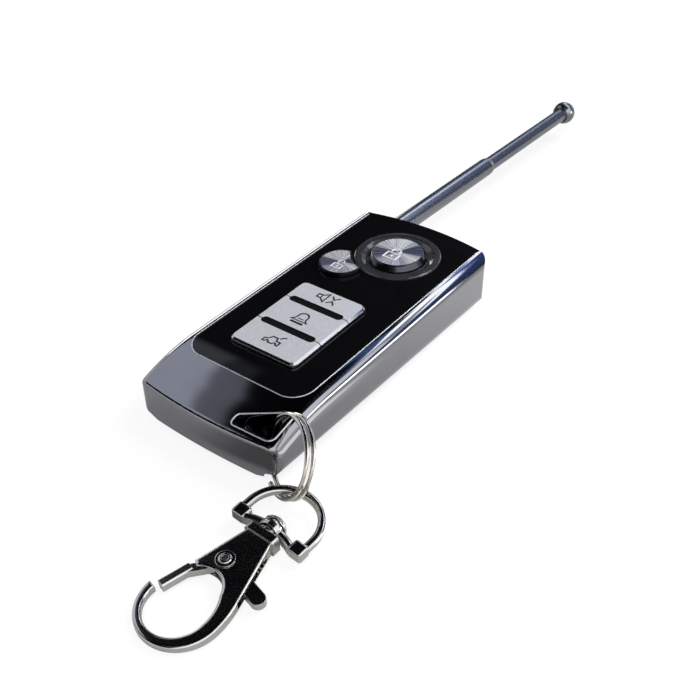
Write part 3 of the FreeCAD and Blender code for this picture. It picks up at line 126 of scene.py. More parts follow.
class Nodes:
    """Short calls that place nodes in one tree and join them."""

    number = "NodeSocketFloat"
    direction = "NodeSocketVector"
    mixed_inputs = (6, 7)
    mixed_output = 2

    def __init__(self, tree: bpy.types.NodeTree) -> None:
        """Keeps the tree."""
        self.tree = tree

    def put(self, socket: Socket, value: Value) -> None:
        """Links an input, or sets it.

        Args:
            socket: the input.
            value: a socket to link, or a number or a colour.
        """
        if isinstance(value, Socket):
            self.tree.links.new(value, socket)
            return
        socket.default_value = (*value, 1.0) if isinstance(value, tuple) else value

    def add(self, kind: str, inputs: Optional[dict] = None, **settings: object) -> bpy.types.Node:
        """Places a node.

        Args:
            kind: its type, without the ShaderNode in front.
            inputs: what goes into its inputs, by name or by number.
            settings: its other settings.

        Returns:
            The node.
        """
        node = self.tree.nodes.new("ShaderNode" + kind)
        for label, value in settings.items():
            setattr(node, label, value)
        for label, value in (inputs or {}).items():
            self.put(node.inputs[label], value)
        return node

    def maths(self, operation: str, first: Value, second: Value = 0.0, clamp: bool = False) -> Socket:
        """The result of an operation on one or two values, kept between 0 and 1 if clamp is set."""
        node = self.add("Math", {0: first, 1: second}, operation=operation, use_clamp=clamp)
        return node.outputs[0]

    def times(self, first: Value, second: Value) -> Socket:
        """The product of two values."""
        return self.maths("MULTIPLY", first, second)

    def weighted(self, first: Socket, second: Socket, share: float) -> Socket:
        """The sum of two values, of which the first has this share and the second the rest."""
        return self.maths("ADD", self.times(first, share), self.times(second, 1.0 - share))

    def stretched(self, value: Socket, gain: Value) -> Socket:
        """A value with its contrast about one half raised, kept between 0 and 1."""
        return self.maths("ADD", self.times(self.maths("SUBTRACT", value, 0.5), gain), 0.5, clamp=True)

    def here(self) -> Socket:
        """Place of the shaded point on its object."""
        return self.add("TexCoord").outputs["Object"]

    def split(self, vector: Socket) -> Sequence[Socket]:
        """The three numbers of a vector."""
        return self.add("SeparateXYZ", {0: vector}).outputs

    def noise(self, scale: Value, detail: float, rough: float = 0.55,
              place: Optional[Socket] = None) -> Socket:
        """Noise over the object, or over a place that is given."""
        inputs = {"Vector": self.here() if place is None else place, "Scale": scale}
        return self.add("TexNoise", {**inputs, "Detail": detail, "Roughness": rough}).outputs[0]

    def ramp(self, value: Socket, start: Value, full: Value) -> Socket:
        """A mask that rises smoothly from 0 where the value is at start to 1 where it is at full."""
        inputs = {"Value": value, "From Min": start, "From Max": full}
        return self.add("MapRange", inputs, interpolation_type="SMOOTHSTEP").outputs[0]

    def spread(self, mask: Socket, low: float, high: float) -> Socket:
        """A value that is low where the mask is 0 and high where it is 1."""
        return self.add("MapRange", {"Value": mask, "To Min": low, "To Max": high}).outputs[0]

    def mix(self, mask: Socket, first: Value, second: Value) -> Socket:
        """The first colour where the mask is 0 and the second where it is 1."""
        inputs = {0: mask, **dict(zip(self.mixed_inputs, (first, second)))}
        return self.add("Mix", inputs, data_type="RGBA").outputs[self.mixed_output]

    def over(self, mask: Socket, first: Socket, second: Socket) -> Socket:
        """The first shader where the mask is 0 and the second where it is 1."""
        return self.add("MixShader", {0: mask, 1: first, 2: second}).outputs[0]

    def glow(self, colour: Value, strength: float = 1.0) -> Socket:
        """A shader that shines by itself."""
        return self.add("Emission", {"Color": colour, "Strength": strength}).outputs[0]

    def rays(self, *kinds: str) -> Socket:
        """A mask that is 1 for these kinds of rays.

        Args:
            kinds: names of Light Path outputs.

        Returns:
            The mask.
        """
        path = self.add("LightPath")
        total = path.outputs[kinds[0]]
        for kind in kinds[1:]:
            total = self.maths("MAXIMUM", total, path.outputs[kind])
        return total

    def patch(self, edges: Sequence[Edge]) -> Socket:
        """A soft-edged patch of a flat stage piece.

        Args:
            edges: for each edge, the shares of x and y, where the patch starts and where it is full.

        Returns:
            The mask of the patch.
        """
        place = self.split(self.here())
        mask = None
        for share_x, share_y, start, full in edges:
            reach = self.maths("ADD", self.times(place[0], share_x), self.times(place[1], share_y))
            ramp = self.ramp(reach, start, full)
            mask = ramp if mask is None else self.times(mask, ramp)
        return mask


class Group(Nodes):
    """A shared shader node group with number inputs."""

    def __init__(self, name: str, outputs: Sequence[str], **inputs: float) -> None:
        """Starts the group.

        Args:
            name: the group's name.
            outputs: names of its outputs, of which Normal is a direction and the rest are numbers.
            inputs: default value of each input, with spaces in their names written as underscores.
        """
        super().__init__(bpy.data.node_groups.new(name, "ShaderNodeTree"))
        interface = self.tree.interface
        for label, value in inputs.items():
            socket = interface.new_socket(label.replace("_", " "), in_out="INPUT", socket_type=self.number)
            socket.default_value = value
        for label in outputs:
            kind = self.direction if label == "Normal" else self.number
            interface.new_socket(label, in_out="OUTPUT", socket_type=kind)
        self.given = self.tree.nodes.new("NodeGroupInput").outputs
        self.taken = self.tree.nodes.new("NodeGroupOutput").inputs

    def offset(self) -> tuple[Socket, ...]:
        """How far the shaded point lies from the group's centre, across and along."""
        place = zip(self.split(self.here()), ("Centre X", "Centre Y"))
        return tuple(self.maths("SUBTRACT", socket, self.given[centre]) for socket, centre in place)

    def closed(self, **outputs: Socket) -> bpy.types.NodeTree:
        """Feeds the outputs.

        Args:
            outputs: what feeds each of them.

        Returns:
            The finished group.
        """
        for label, value in outputs.items():
            self.put(self.taken[label], value)
        return self.tree


class Effects:
    """The shader node groups that several finishes share, each built once."""

    def __init__(self) -> None:
        """Builds every group."""
        self.mottle = self._mottle()
        self.grain = self._grain()
        self.edge = self._edge()
        self.sunray = self._sunray()
        self.painted_light_wedge = self._painted_light_wedge()
        self.specks = self._specks()
        self.tracks = self._tracks()
        self.window = self._window_shade()

    @staticmethod
    def _mottle() -> bpy.types.NodeTree:
        """Builds soft uneven patches, such as finger marks and cast colour.

        Returns:
            The group.
        """
        finer = 5.3
        group = Group("mottle", ["Mask"], Scale=120.0, Contrast=1.5)
        scale = group.given["Scale"]
        broad = group.noise(scale, detail=3.0)
        fine = group.noise(group.times(scale, finer), detail=2.0)
        both = group.weighted(broad, fine, share=0.75)
        return group.closed(Mask=group.stretched(both, group.given["Contrast"]))

    @staticmethod
    def _grain() -> bpy.types.NodeTree:
        """Builds the fine even grain of a satin or moulded surface.

        Returns:
            The group.
        """
        coarser = 0.31
        contrast = 4.0
        group = Group("grain", ["Mask", "Height"], Scale=9000.0, Sparkle=0.5)
        scale = group.given["Scale"]
        fine = group.noise(scale, detail=1.5, rough=0.7)
        coarse = group.noise(group.times(scale, coarser), detail=1.0)
        height = group.weighted(fine, coarse, share=0.7)
        gain = group.times(group.given["Sparkle"], contrast)
        return group.closed(Mask=group.stretched(height, gain), Height=height)

    @staticmethod
    def _edge() -> bpy.types.NodeTree:
        """Builds rounded edges: a softened normal, and a mask that shows where edges are.

        Returns:
            The group.
        """
        break_scale = 900.0
        group = Group("edge_wear", ["Mask", "Normal"], Radius=0.0002, Width=6.0)
        soft = group.add("Bevel", {"Radius": group.given["Radius"]}, samples=6).outputs["Normal"]
        plain = group.add("NewGeometry").outputs["Normal"]
        same = group.add("VectorMath", {0: soft, 1: plain}, operation="DOT_PRODUCT").outputs["Value"]
        apart = group.maths("SUBTRACT", 1.0, same, clamp=True)
        broken = group.times(apart, group.noise(break_scale, detail=2.0))
        mask = group.maths("MULTIPLY", broken, group.given["Width"], clamp=True)
        return group.closed(Mask=mask, Normal=soft)

    @staticmethod
    def _sunray() -> bpy.types.NodeTree:
        """Builds streaks that run out from a centre, with fine turning rings.

        Returns:
            The group.
        """
        streak_waver = 60.0
        rings_per_metre = 16000.0
        group = Group("sunray", ["Mask", "Height"], Centre_X=0.0, Centre_Y=0.0, Streaks=14.0)
        x, y = group.offset()
        far = group.maths("SQRT", group.maths("ADD", group.times(x, x), group.times(y, y)))
        turn = group.times(group.maths("ARCTAN2", y, x), group.given["Streaks"])
        polar = group.add("CombineXYZ", {0: turn, 1: group.times(far, streak_waver)}).outputs[0]
        streak = group.noise(1.0, detail=3.0, rough=0.75, place=polar)
        rings = group.add("CombineXYZ", {0: group.times(far, rings_per_metre)}).outputs[0]
        turned = group.noise(1.0, detail=1.0, place=rings)
        height = group.weighted(turned, streak, share=0.5)
        return group.closed(Mask=group.stretched(streak, 3.0), Height=height)

    @staticmethod
    def _painted_light_wedge() -> bpy.types.NodeTree:
        """Builds a wedge of a disc about its centre, toward one side: the mask for the painted highlights and
        shades of spun discs.

        Returns:
            The group.
        """
        group = Group("painted_light_wedge", ["Mask"], Centre_X=0.0, Centre_Y=0.0, Turn=0.0, Start=0.8, Full=0.95)
        x, y = group.offset()
        away = group.maths("SUBTRACT", group.maths("ARCTAN2", y, x), group.given["Turn"])
        mask = group.ramp(group.maths("COSINE", away), group.given["Start"], group.given["Full"])
        return group.closed(Mask=mask)

    @staticmethod
    def _specks() -> bpy.types.NodeTree:
        """Builds small pits and dust grains scattered over a surface.

        Returns:
            The group.
        """
        speck_size = 0.16
        group = Group("specks", ["Mask"], Scale=1500.0, Share=0.2)
        cells = group.add("TexVoronoi", {"Vector": group.here(), "Scale": group.given["Scale"]}).outputs
        near = group.maths("LESS_THAN", cells["Distance"], speck_size)
        chosen = group.maths("LESS_THAN", group.split(cells["Color"])[0], group.given["Share"])
        return group.closed(Mask=group.times(near, chosen))

    @staticmethod
    def _tracks() -> bpy.types.NodeTree:
        """Builds copper tracks under a lacquer, in a square grid with gaps.

        Returns:
            The group.
        """
        tracks_per_cell = 3.0
        track_share = 0.28
        group = Group("tracks", ["Mask"], Scale=420.0)
        cells = group.add("TexVoronoi", {"Vector": group.here(), "Scale": group.given["Scale"]},
                          distance="CHEBYCHEV", feature="F2").outputs
        band = group.maths("FRACT", group.times(cells["Distance"], tracks_per_cell))
        return group.closed(Mask=group.maths("LESS_THAN", band, track_share))

    @staticmethod
    def _window_shade() -> bpy.types.NodeTree:
        """Builds the inside of the corner window: a mask that is 1 between its three walls, where the chrome
        gets painted shade.

        Returns:
            The group.
        """
        depth = 6.6 * MM
        group = Group("window", ["Mask"], Side=17.4 * MM, Tail=-39.3 * MM, Across=10.2 * MM,
                      Along=8.6 * MM, Grow=0.06 * MM)
        x, y, _ = group.split(group.here())
        right = group.maths("SUBTRACT", group.given["Side"], x)
        low = group.maths("SUBTRACT", y, group.given["Tail"])
        share = group.maths("ADD", group.maths("DIVIDE", right, group.given["Across"]),
                            group.maths("DIVIDE", low, group.given["Along"]))
        back = group.times(group.maths("SUBTRACT", 1.0, share), depth)
        least = group.maths("MINIMUM", group.maths("MINIMUM", right, low), back)
        inside = group.maths("ADD", least, group.given["Grow"])
        return group.closed(Mask=group.maths("GREATER_THAN", inside, 0.0))


# Finishes


class Shader(Nodes):
    """A new material with its Principled BSDF."""

    def __init__(self, name: str) -> None:
        """Starts the material.

        Args:
            name: the material's name.
        """
        self.material = bpy.data.materials.new(name)
        self.material.use_nodes = True
        super().__init__(self.material.node_tree)
        self.surface = next(n for n in self.tree.nodes if n.type == "BSDF_PRINCIPLED")

    def place(self, group: bpy.types.NodeTree, **values: float) -> Sequence[Socket]:
        """Places a shared group with these values, and gives its outputs."""
        inputs = {label.replace("_", " "): value for label, value in values.items()}
        return self.add("Group", inputs, node_tree=group).outputs

    def fill(self, **values: Value) -> None:
        """Links or sets the surface's inputs, with spaces in their names written as underscores."""
        for label, value in values.items():
            self.put(self.surface.inputs[label.replace("_", " ")], value)

    def bump(self, height: Socket, depth: float, **normal: Socket) -> None:
        """Feeds the surface's normal from a height of this depth in metres, over a Normal if one is given."""
        relief = self.add("Bump", {"Distance": depth, "Height": height, **normal})
        self.fill(Normal=relief.outputs[0])

    def show(self, shader: Socket) -> None:
        """Shows a shader as the material."""
        self.put(self.tree.nodes["Material Output"].inputs["Surface"], shader)


@dataclass(frozen=True)
class Finish:
    """A metal, plastic, rubber or ceramic finish with mottling, grain and worn edges, and painted shade
    inside the corner window where a window colour is given.
    """

    name: str
    colour: Colour
    shade: Colour
    metallic: float
    roughness: float
    roughness_spread: float = 0.06
    mottle_scale: float = 120.0
    mottle_contrast: float = 1.6
    grain_scale: float = 9000.0
    grain_depth: float = 0.002 * MM
    sparkle: float = 0.0
    dimmed: float = 0.72
    lifted: float = 1.18
    glint_share: float = 0.75
    edge_radius: float = 0.15 * MM
    edge_colour: Optional[Colour] = None
    edge_width: float = 4.0
    specks: float = 0.0
    speck_colour: Colour = (0.02, 0.02, 0.02)
    specular: float = 0.5
    # Painted shade: a near-black colour laid on the walls inside the corner window
    window: Optional[Colour] = None

    def build(self, effects: Effects) -> bpy.types.Material:
        """Makes the material.

        Args:
            effects: shared node groups.

        Returns:
            The material.
        """
        shader = Shader(self.name)
        mottle = shader.place(effects.mottle, Scale=self.mottle_scale, Contrast=self.mottle_contrast)["Mask"]
        grain = shader.place(effects.grain, Scale=self.grain_scale, Sparkle=self.sparkle)
        edge = shader.place(effects.edge, Radius=self.edge_radius, Width=self.edge_width)
        colour = shader.mix(mottle, self.colour, self.shade)
        if self.sparkle:
            darker = tuple(c * self.dimmed for c in self.colour)
            lighter = tuple(min(c * self.lifted, 1.0) for c in self.colour)
            glint = shader.mix(grain["Mask"], darker, lighter)
            colour = shader.mix(shader.spread(grain["Mask"], 0.0, self.glint_share), colour, glint)
        if self.specks:
            specks = shader.place(effects.specks, Share=self.specks)
            colour = shader.mix(specks["Mask"], colour, self.speck_colour)
        if self.edge_colour:
            colour = shader.mix(edge["Mask"], colour, self.edge_colour)
        # Paints shade on the walls inside the corner window
        if self.window:
            colour = shader.mix(shader.place(effects.window)["Mask"], colour, self.window)
        rough = shader.spread(mottle, self.roughness, self.roughness + self.roughness_spread)
        shader.bump(grain["Height"], self.grain_depth, Normal=edge["Normal"])
        shader.fill(Base_Color=colour, Roughness=rough, Metallic=self.metallic,
                    Specular_IOR_Level=self.specular)
        return shader.material


@dataclass(frozen=True)
class SpunFinish:
    """Metal turned on a lathe: fine rings and rays from the centre, with wedges of painted highlight and
    painted shade about the centre.
    """

    name: str
    colour: Colour
    shade: Colour
    centre: Point
    streaks: float
    roughness: float = 0.2
    roughness_spread: float = 0.12
    anisotropy: float = 0.85
    depth: float = 0.004 * MM
    edge_radius: float = 0.08 * MM
    metallic: float = 0.45
    dimmed: float = 0.45
    # Painted highlight and shade wedges: turn in degrees, start, full and colour; the pale ones are painted
    # highlights, the dark ones painted shade
    painted_light_wedges: tuple[tuple[float, float, float, Colour], ...] = (
        (140.0, 0.25, 0.85, (0.96, 0.96, 0.98)), (215.0, 0.80, 0.97, (0.15, 0.16, 0.24)),
        (40.0, 0.82, 0.97, (0.11, 0.12, 0.20)), (-8.0, 0.93, 0.985, (1.0, 1.0, 1.0)),
        (-62.0, 0.86, 0.97, (0.62, 0.63, 0.74)))

    def build(self, effects: Effects) -> bpy.types.Material:
        """Makes the material.

        Args:
            effects: shared node groups.

        Returns:
            The material.
        """
        shader = Shader(self.name)
        centre = {"Centre_X": self.centre[0] * MM, "Centre_Y": self.centre[1] * MM}
        rays = shader.place(effects.sunray, Streaks=self.streaks, **centre)
        edge = shader.place(effects.edge, Radius=self.edge_radius)
        colour = shader.mix(rays["Mask"], self.shade, self.colour)
        # Paints the highlight and shade wedges into the colour, streaked by the rays
        for turn, start, full, painted_light in self.painted_light_wedges:
            painted_light_wedge = shader.place(effects.painted_light_wedge, Turn=math.radians(turn), Start=start, Full=full, **centre)
            streaked = shader.mix(rays["Mask"], tuple(self.dimmed * c for c in painted_light), painted_light)
            colour = shader.mix(painted_light_wedge["Mask"], colour, streaked)
        rough = shader.spread(rays["Mask"], self.roughness, self.roughness + self.roughness_spread)
        tangent = shader.add("Tangent", direction_type="RADIAL", axis="Z").outputs[0]
        shader.bump(rays["Height"], self.depth, Normal=edge["Normal"])
        shader.fill(Base_Color=colour, Roughness=rough, Tangent=tangent, Metallic=self.metallic,
                    Anisotropic=self.anisotropy)
        return shader.material


@dataclass(frozen=True)
class ClearFinish:
    """Clear or smoked plastic."""

    name: str
    colour: Colour
    shade: Colour
    roughness: float = 0.03
    roughness_spread: float = 0.04
    refraction: float = 1.49
    transmission: float = 1.0

    def build(self, effects: Effects) -> bpy.types.Material:
        """Makes the material.

        Args:
            effects: shared node groups.

        Returns:
            The material.
        """
        shader = Shader(self.name)
        mottle = shader.place(effects.mottle, Scale=260.0, Contrast=1.2)["Mask"]
        specks = shader.place(effects.specks, Scale=900.0, Share=0.05)["Mask"]
        colour = shader.mix(specks, shader.mix(mottle, self.colour, self.shade), self.shade)
        rough = shader.spread(mottle, self.roughness, self.roughness + self.roughness_spread)
        shader.fill(Base_Color=colour, Roughness=rough, Metallic=0.0, IOR=self.refraction,
                    Transmission_Weight=self.transmission)
        return shader.material


@dataclass(frozen=True)
class BoardFinish:
    """Lacquered circuit board with tracks that show through."""

    name: str = "board_lacquer"
    lacquer: Colour = (0.012, 0.13, 0.045)
    track: Colour = (0.03, 0.24, 0.085)
    pad: Colour = (0.62, 0.58, 0.50)
    roughness: Point = (0.28, 0.4)
    track_height: float = 0.02 * MM

    def build(self, effects: Effects) -> bpy.types.Material:
        """Makes the material.

        Args:
            effects: shared node groups.

        Returns:
            The material.
        """
        shader = Shader(self.name)
        tracks = shader.place(effects.tracks)["Mask"]
        pads = shader.place(effects.specks, Scale=620.0, Share=0.3)["Mask"]
        mottle = shader.place(effects.mottle, Scale=300.0)["Mask"]
        colour = shader.mix(pads, shader.mix(tracks, self.lacquer, self.track), self.pad)
        shader.bump(tracks, self.track_height)
        shader.fill(Base_Color=colour, Roughness=shader.spread(mottle, *self.roughness), Metallic=0.0)
        return shader.material


AnyFinish = Union[Finish, SpunFinish, ClearFinish, BoardFinish]


@dataclass
class Palette:
    """The finishes by material slot, and the shared effects they are built from."""

    effects: Effects
    made: dict[str, bpy.types.Material] = field(default_factory=dict)

    @staticmethod
    def finishes() -> dict[str, AnyFinish]:
        """Chooses the finishes.

        Returns:
            The finish of each material slot.
        """
        return {
            # The body chrome's window colour is painted shade inside the corner window
            "body_chrome": Finish("dark_chrome", (0.28, 0.28, 0.29), (0.25, 0.25, 0.265), 1.0, 0.045, 0.03,
                                  grain_depth=0.0006 * MM, edge_radius=0.12 * MM, specks=0.025,
                                  speck_colour=(0.20, 0.20, 0.21), window=(0.012, 0.012, 0.014)),
            "cover_plastic": Finish("moulded_black", (0.016, 0.016, 0.018), (0.026, 0.026, 0.028), 0.0, 0.42,
                                    grain_scale=5200.0, grain_depth=0.03 * MM, edge_radius=0.25 * MM,
                                    edge_colour=(0.06, 0.06, 0.065)),
            "panel_black": Finish("piano_black", (0.0035, 0.0035, 0.004), (0.005, 0.005, 0.006), 0.0, 0.03,
                                  0.03, grain_depth=0.0003 * MM, edge_radius=0.08 * MM, specks=0.02,
                                  speck_colour=(0.02, 0.02, 0.022), specular=0.3),
            "clear_smoke": ClearFinish("smoked_clear", (0.10, 0.10, 0.11), (0.14, 0.14, 0.15), 0.10,
                                       transmission=0.75),
            "key_silver": Finish("satin_silver", (0.74, 0.75, 0.78), (0.68, 0.69, 0.73), 0.35, 0.42, 0.06,
                                 grain_scale=3600.0, grain_depth=0.010 * MM, sparkle=0.9,
                                 edge_radius=0.05 * MM),
            # Spun steel carries the default painted highlight and shade wedges
            "spun_steel": SpunFinish("spun_disc", (0.70, 0.71, 0.74), (0.40, 0.41, 0.45), (1.4, 26.0), 14.0),
            # Black rubber mat; its near-black colour is also painted shade in the key slots and the gaps
            # between keys
            "mat_rubber": Finish("mat_rubber", (0.003, 0.003, 0.0035), (0.005, 0.005, 0.0055), 0.0, 0.75,
                                 grain_scale=4200.0, grain_depth=0.02 * MM, specular=0.08),
            "board_green": BoardFinish(),
            "chip_black": Finish("chip_resin", (0.02, 0.02, 0.021), (0.03, 0.03, 0.031), 0.0, 0.5,
                                 grain_scale=6500.0, grain_depth=0.02 * MM),
            "can_steel": Finish("can_steel", (0.60, 0.60, 0.59), (0.50, 0.50, 0.49), 1.0, 0.25,
                                edge_colour=(0.75, 0.75, 0.74)),
            "coil_sleeve": Finish("coil_sleeve", (0.015, 0.016, 0.02), (0.03, 0.03, 0.034), 0.0, 0.38,
                                  grain_scale=3800.0, grain_depth=0.03 * MM),
            "light_clear": ClearFinish("light_clear", (0.80, 0.22, 0.18), (0.70, 0.16, 0.12), 0.06),
            "part_ceramic": Finish("part_ceramic", (0.42, 0.36, 0.29), (0.30, 0.25, 0.20), 0.0, 0.45,
                                   specks=0.3, speck_colour=(0.66, 0.64, 0.60)),
            "cell_can": Finish("cell_wrap", (0.05, 0.16, 0.33), (0.035, 0.12, 0.26), 0.35, 0.28,
                               edge_colour=(0.55, 0.55, 0.56)),
            "contact_plate": Finish("contact_plate", (0.62, 0.60, 0.55), (0.50, 0.48, 0.44), 1.0, 0.24,
                                    edge_colour=(0.75, 0.72, 0.66)),
            "screw_steel": Finish("screw_steel", (0.34, 0.34, 0.35), (0.26, 0.26, 0.27), 1.0, 0.30,
                                  edge_colour=(0.55, 0.55, 0.55)),
            "bush_brass": Finish("plated_brass", (0.45, 0.45, 0.46), (0.38, 0.38, 0.38), 1.0, 0.14, 0.05),
            "antenna_chrome": Finish("antenna_chrome", (0.30, 0.30, 0.32), (0.22, 0.23, 0.25), 1.0, 0.20,
                                     0.06, grain_depth=0.0, mottle_scale=60.0, edge_radius=0.01 * MM,
                                     specks=0.02, speck_colour=(0.12, 0.12, 0.13)),
            "plug_plastic": Finish("plug_plastic", (0.05, 0.05, 0.052), (0.035, 0.035, 0.036), 0.0, 0.4),
            "ring_nickel": Finish("ring_nickel", (0.66, 0.63, 0.58), (0.52, 0.49, 0.45), 1.0, 0.08, 0.08,
                                  grain_depth=0.002 * MM, specks=0.04, speck_colour=(0.20, 0.19, 0.17)),
            "clasp_nickel": Finish("clasp_nickel", (0.60, 0.58, 0.55), (0.48, 0.46, 0.43), 1.0, 0.07, 0.09,
                                   grain_depth=0.003 * MM, edge_radius=0.22 * MM, specks=0.12,
                                   speck_colour=(0.30, 0.29, 0.27)),
            "spring_steel": Finish("spring_steel", (0.60, 0.55, 0.44), (0.48, 0.44, 0.36), 1.0, 0.2),
        }

    def build(self) -> None:
        """Makes the material of every slot."""
        for slot, finish in self.finishes().items():
            self.made[slot] = finish.build(self.effects)

    @staticmethod
    def dress(obj: bpy.types.Object, material: bpy.types.Material) -> None:
        """Gives an object this material in place of its own.

        Args:
            obj: the object.
            material: what it is made of.
        """
        own = obj.data.materials
        if not own:
            own.append(material)
        for index in range(len(own)):
            own[index] = material


# Mesh building


class DeckFrame:
    """Deck coordinates: x across, v along the sloping top of the case and w square to it, in mm."""

    height = 14.1
    slope = math.radians(1.8)

    @classmethod
    def point(cls, x: float, v: float, w: float) -> Vector:
        """A deck point in metres, in the frame of the part."""
        turned = Matrix.Rotation(cls.slope, 3, "X") @ Vector((x, v, w))
        return (turned + Vector((0.0, 0.0, cls.height))) * MM


@dataclass(frozen=True)
class Stroke:
    """A line of a symbol, drawn as points in mm and cut with a width."""

    points: tuple[Point, ...]
    closed: bool = False
    width: float = 0.42
    sharpest: float = 0.45

    def sides(self) -> tuple[list[Vector], list[Vector]]:
        """Finds its two sides, mitred at the bends.

        Returns:
            The points of the left side and of the right side.
        """
        path = [Vector(p) for p in self.points]
        count = len(path)
        left, right = [], []
        for i, here in enumerate(path):
            before = path[i - 1] if i or self.closed else None
            after = path[(i + 1) % count] if i < count - 1 or self.closed else None
            ways = [(here - before).normalized()] if before is not None else []
            ways += [(after - here).normalized()] if after is not None else []
            along = sum(ways, Vector((0.0, 0.0))).normalized()
            across = Vector((-along.y, along.x))
            square = Vector((-ways[0].y, ways[0].x))
            reach = self.width / 2 / max(across.dot(square), self.sharpest)
            left.append(here + across * reach)
            right.append(here - across * reach)
        return left, right


def arc_points(x: float, y: float, radius: float, start: float, end: float, steps: int) -> tuple[Point, ...]:
    """Points of an arc.

    Args:
        x: centre across.
        y: centre along.
        radius: radius of the arc.
        start: first angle in degrees.
        end: last angle in degrees.
        steps: number of runs.

    Returns:
        The points in order.
    """
    turns = [math.radians(start + (end - start) * i / steps) for i in range(steps + 1)]
    return tuple((x + radius * math.cos(t), y + radius * math.sin(t)) for t in turns)


@dataclass(frozen=True)
class Symbol:
    """A generic symbol made of strokes, drawn about its own centre in mm."""

    name: str
    strokes: tuple[Stroke, ...]
    clearance: float = 0.3

    def cutter(self, x: float, v: float, size: float, top: float, depth: float) -> bpy.types.Object:
        """Makes the solid that cuts the symbol into a face on the deck.

        Args:
            x: place of the symbol's centre across the deck.
            v: place of its centre along the deck.
            size: scale of the drawing.
            top: height of the face above the deck.
            depth: depth of the cut.

        Returns:
            The cutting object.
        """
        mesh = bmesh.new()
        for stroke in self.strokes:
            left, right = stroke.sides()
            rows = []
            high, low = top + self.clearance, top - depth
            for a, b in zip(left, right):
                corners = [(a, high), (b, high), (b, low), (a, low)]
                places = [DeckFrame.point(x + p.x * size, v + p.y * size, w) for p, w in corners]
                rows.append([mesh.verts.new(place) for place in places])
            pairs = list(zip(rows, rows[1:])) + ([(rows[-1], rows[0])] if stroke.closed else [])
            for one, two in pairs:
                for i in range(4):
                    j = (i + 1) % 4
                    mesh.faces.new((one[i], one[j], two[j], two[i]))
            if not stroke.closed:
                mesh.faces.new(rows[0])
                mesh.faces.new(rows[-1])
        bmesh.ops.recalc_face_normals(mesh, faces=mesh.faces)
        name = self.name + "_cutter"
        return linked(name, finished(name, mesh))


class Symbols:
    """The generic symbols on the keys."""

    @staticmethod
    def mute() -> Symbol:
        """Draws a loudspeaker with a cross beside it.

        Returns:
            The symbol.
        """
        body = ((-2.75, 0.6), (-1.65, 0.6), (-0.3, 1.65), (-0.3, -1.65), (-1.65, -0.6), (-2.75, -0.6))
        return Symbol("mute", (Stroke(body, True), Stroke(((-1.65, 0.3), (-1.65, -0.3))),
                               Stroke(((0.55, 1.55), (1.6, 0.36), (2.65, 1.55))),
                               Stroke(((0.55, -1.55), (1.6, -0.36), (2.65, -1.55)))))

    @staticmethod
    def bell() -> Symbol:
        """Draws a bell with its clapper.

        Returns:
            The symbol.
        """
        dome = ((-2.1, -0.95), (-1.5, -0.45)) + tuple(reversed(arc_points(0, 0.75, 1.3, -14, 194, 12)))
        dome = dome + ((1.5, -0.45), (2.1, -0.95))
        return Symbol("bell", (Stroke(dome, True), Stroke(((-0.85, -0.2), (0.85, -0.2)), False, 0.3),
                               Stroke(((-1.75, -1.75), (1.75, -1.75)), False, 0.62)))

    @staticmethod
    def boot() -> Symbol:
        """Draws a car from the side with its boot open.

        Returns:
            The symbol.
        """
        side = ((-2.15, -1.1), (-2.15, -0.15), (-1.3, 0.15), (-0.75, 1.15), (0.55, 1.15), (0.85, 0.15),
                (2.0, 0.15), (2.0, -1.1), (1.5, -1.1), (1.2, -0.55), (0.75, -0.55), (0.45, -1.1),
                (-0.6, -1.1), (-0.9, -0.55), (-1.3, -0.55), (-1.6, -1.1))
        return Symbol("boot", (Stroke(side, True), Stroke(((1.05, 1.15), (1.5, 1.9), (2.3, 2.2)))))

    @staticmethod
    def padlock(side: Side) -> Symbol:
        """Draws a padlock.

        Args:
            side: whether the shackle is closed or open.

        Returns:
            The symbol.
        """
        body = ((-1.45, 0.1), (1.45, 0.1), (1.45, -1.85), (-1.45, -1.85))
        foot, radius, bend = 0.42, 0.9, 0.95 + 0.42 * side.value
        arch = tuple(reversed(arc_points(0, bend, radius, 0, 180, 8)))
        loose = foot if side is Side.CLOSED else bend + 0.15
        shackle = ((-radius, foot), *arch, (radius, loose))
        thin = 0.36
        return Symbol("padlock_" + side.name.lower(),
                      (Stroke(body, True, thin), Stroke(shackle, False, thin),
                       Stroke(((0, -0.5), (0, -1.25)), False, thin)))


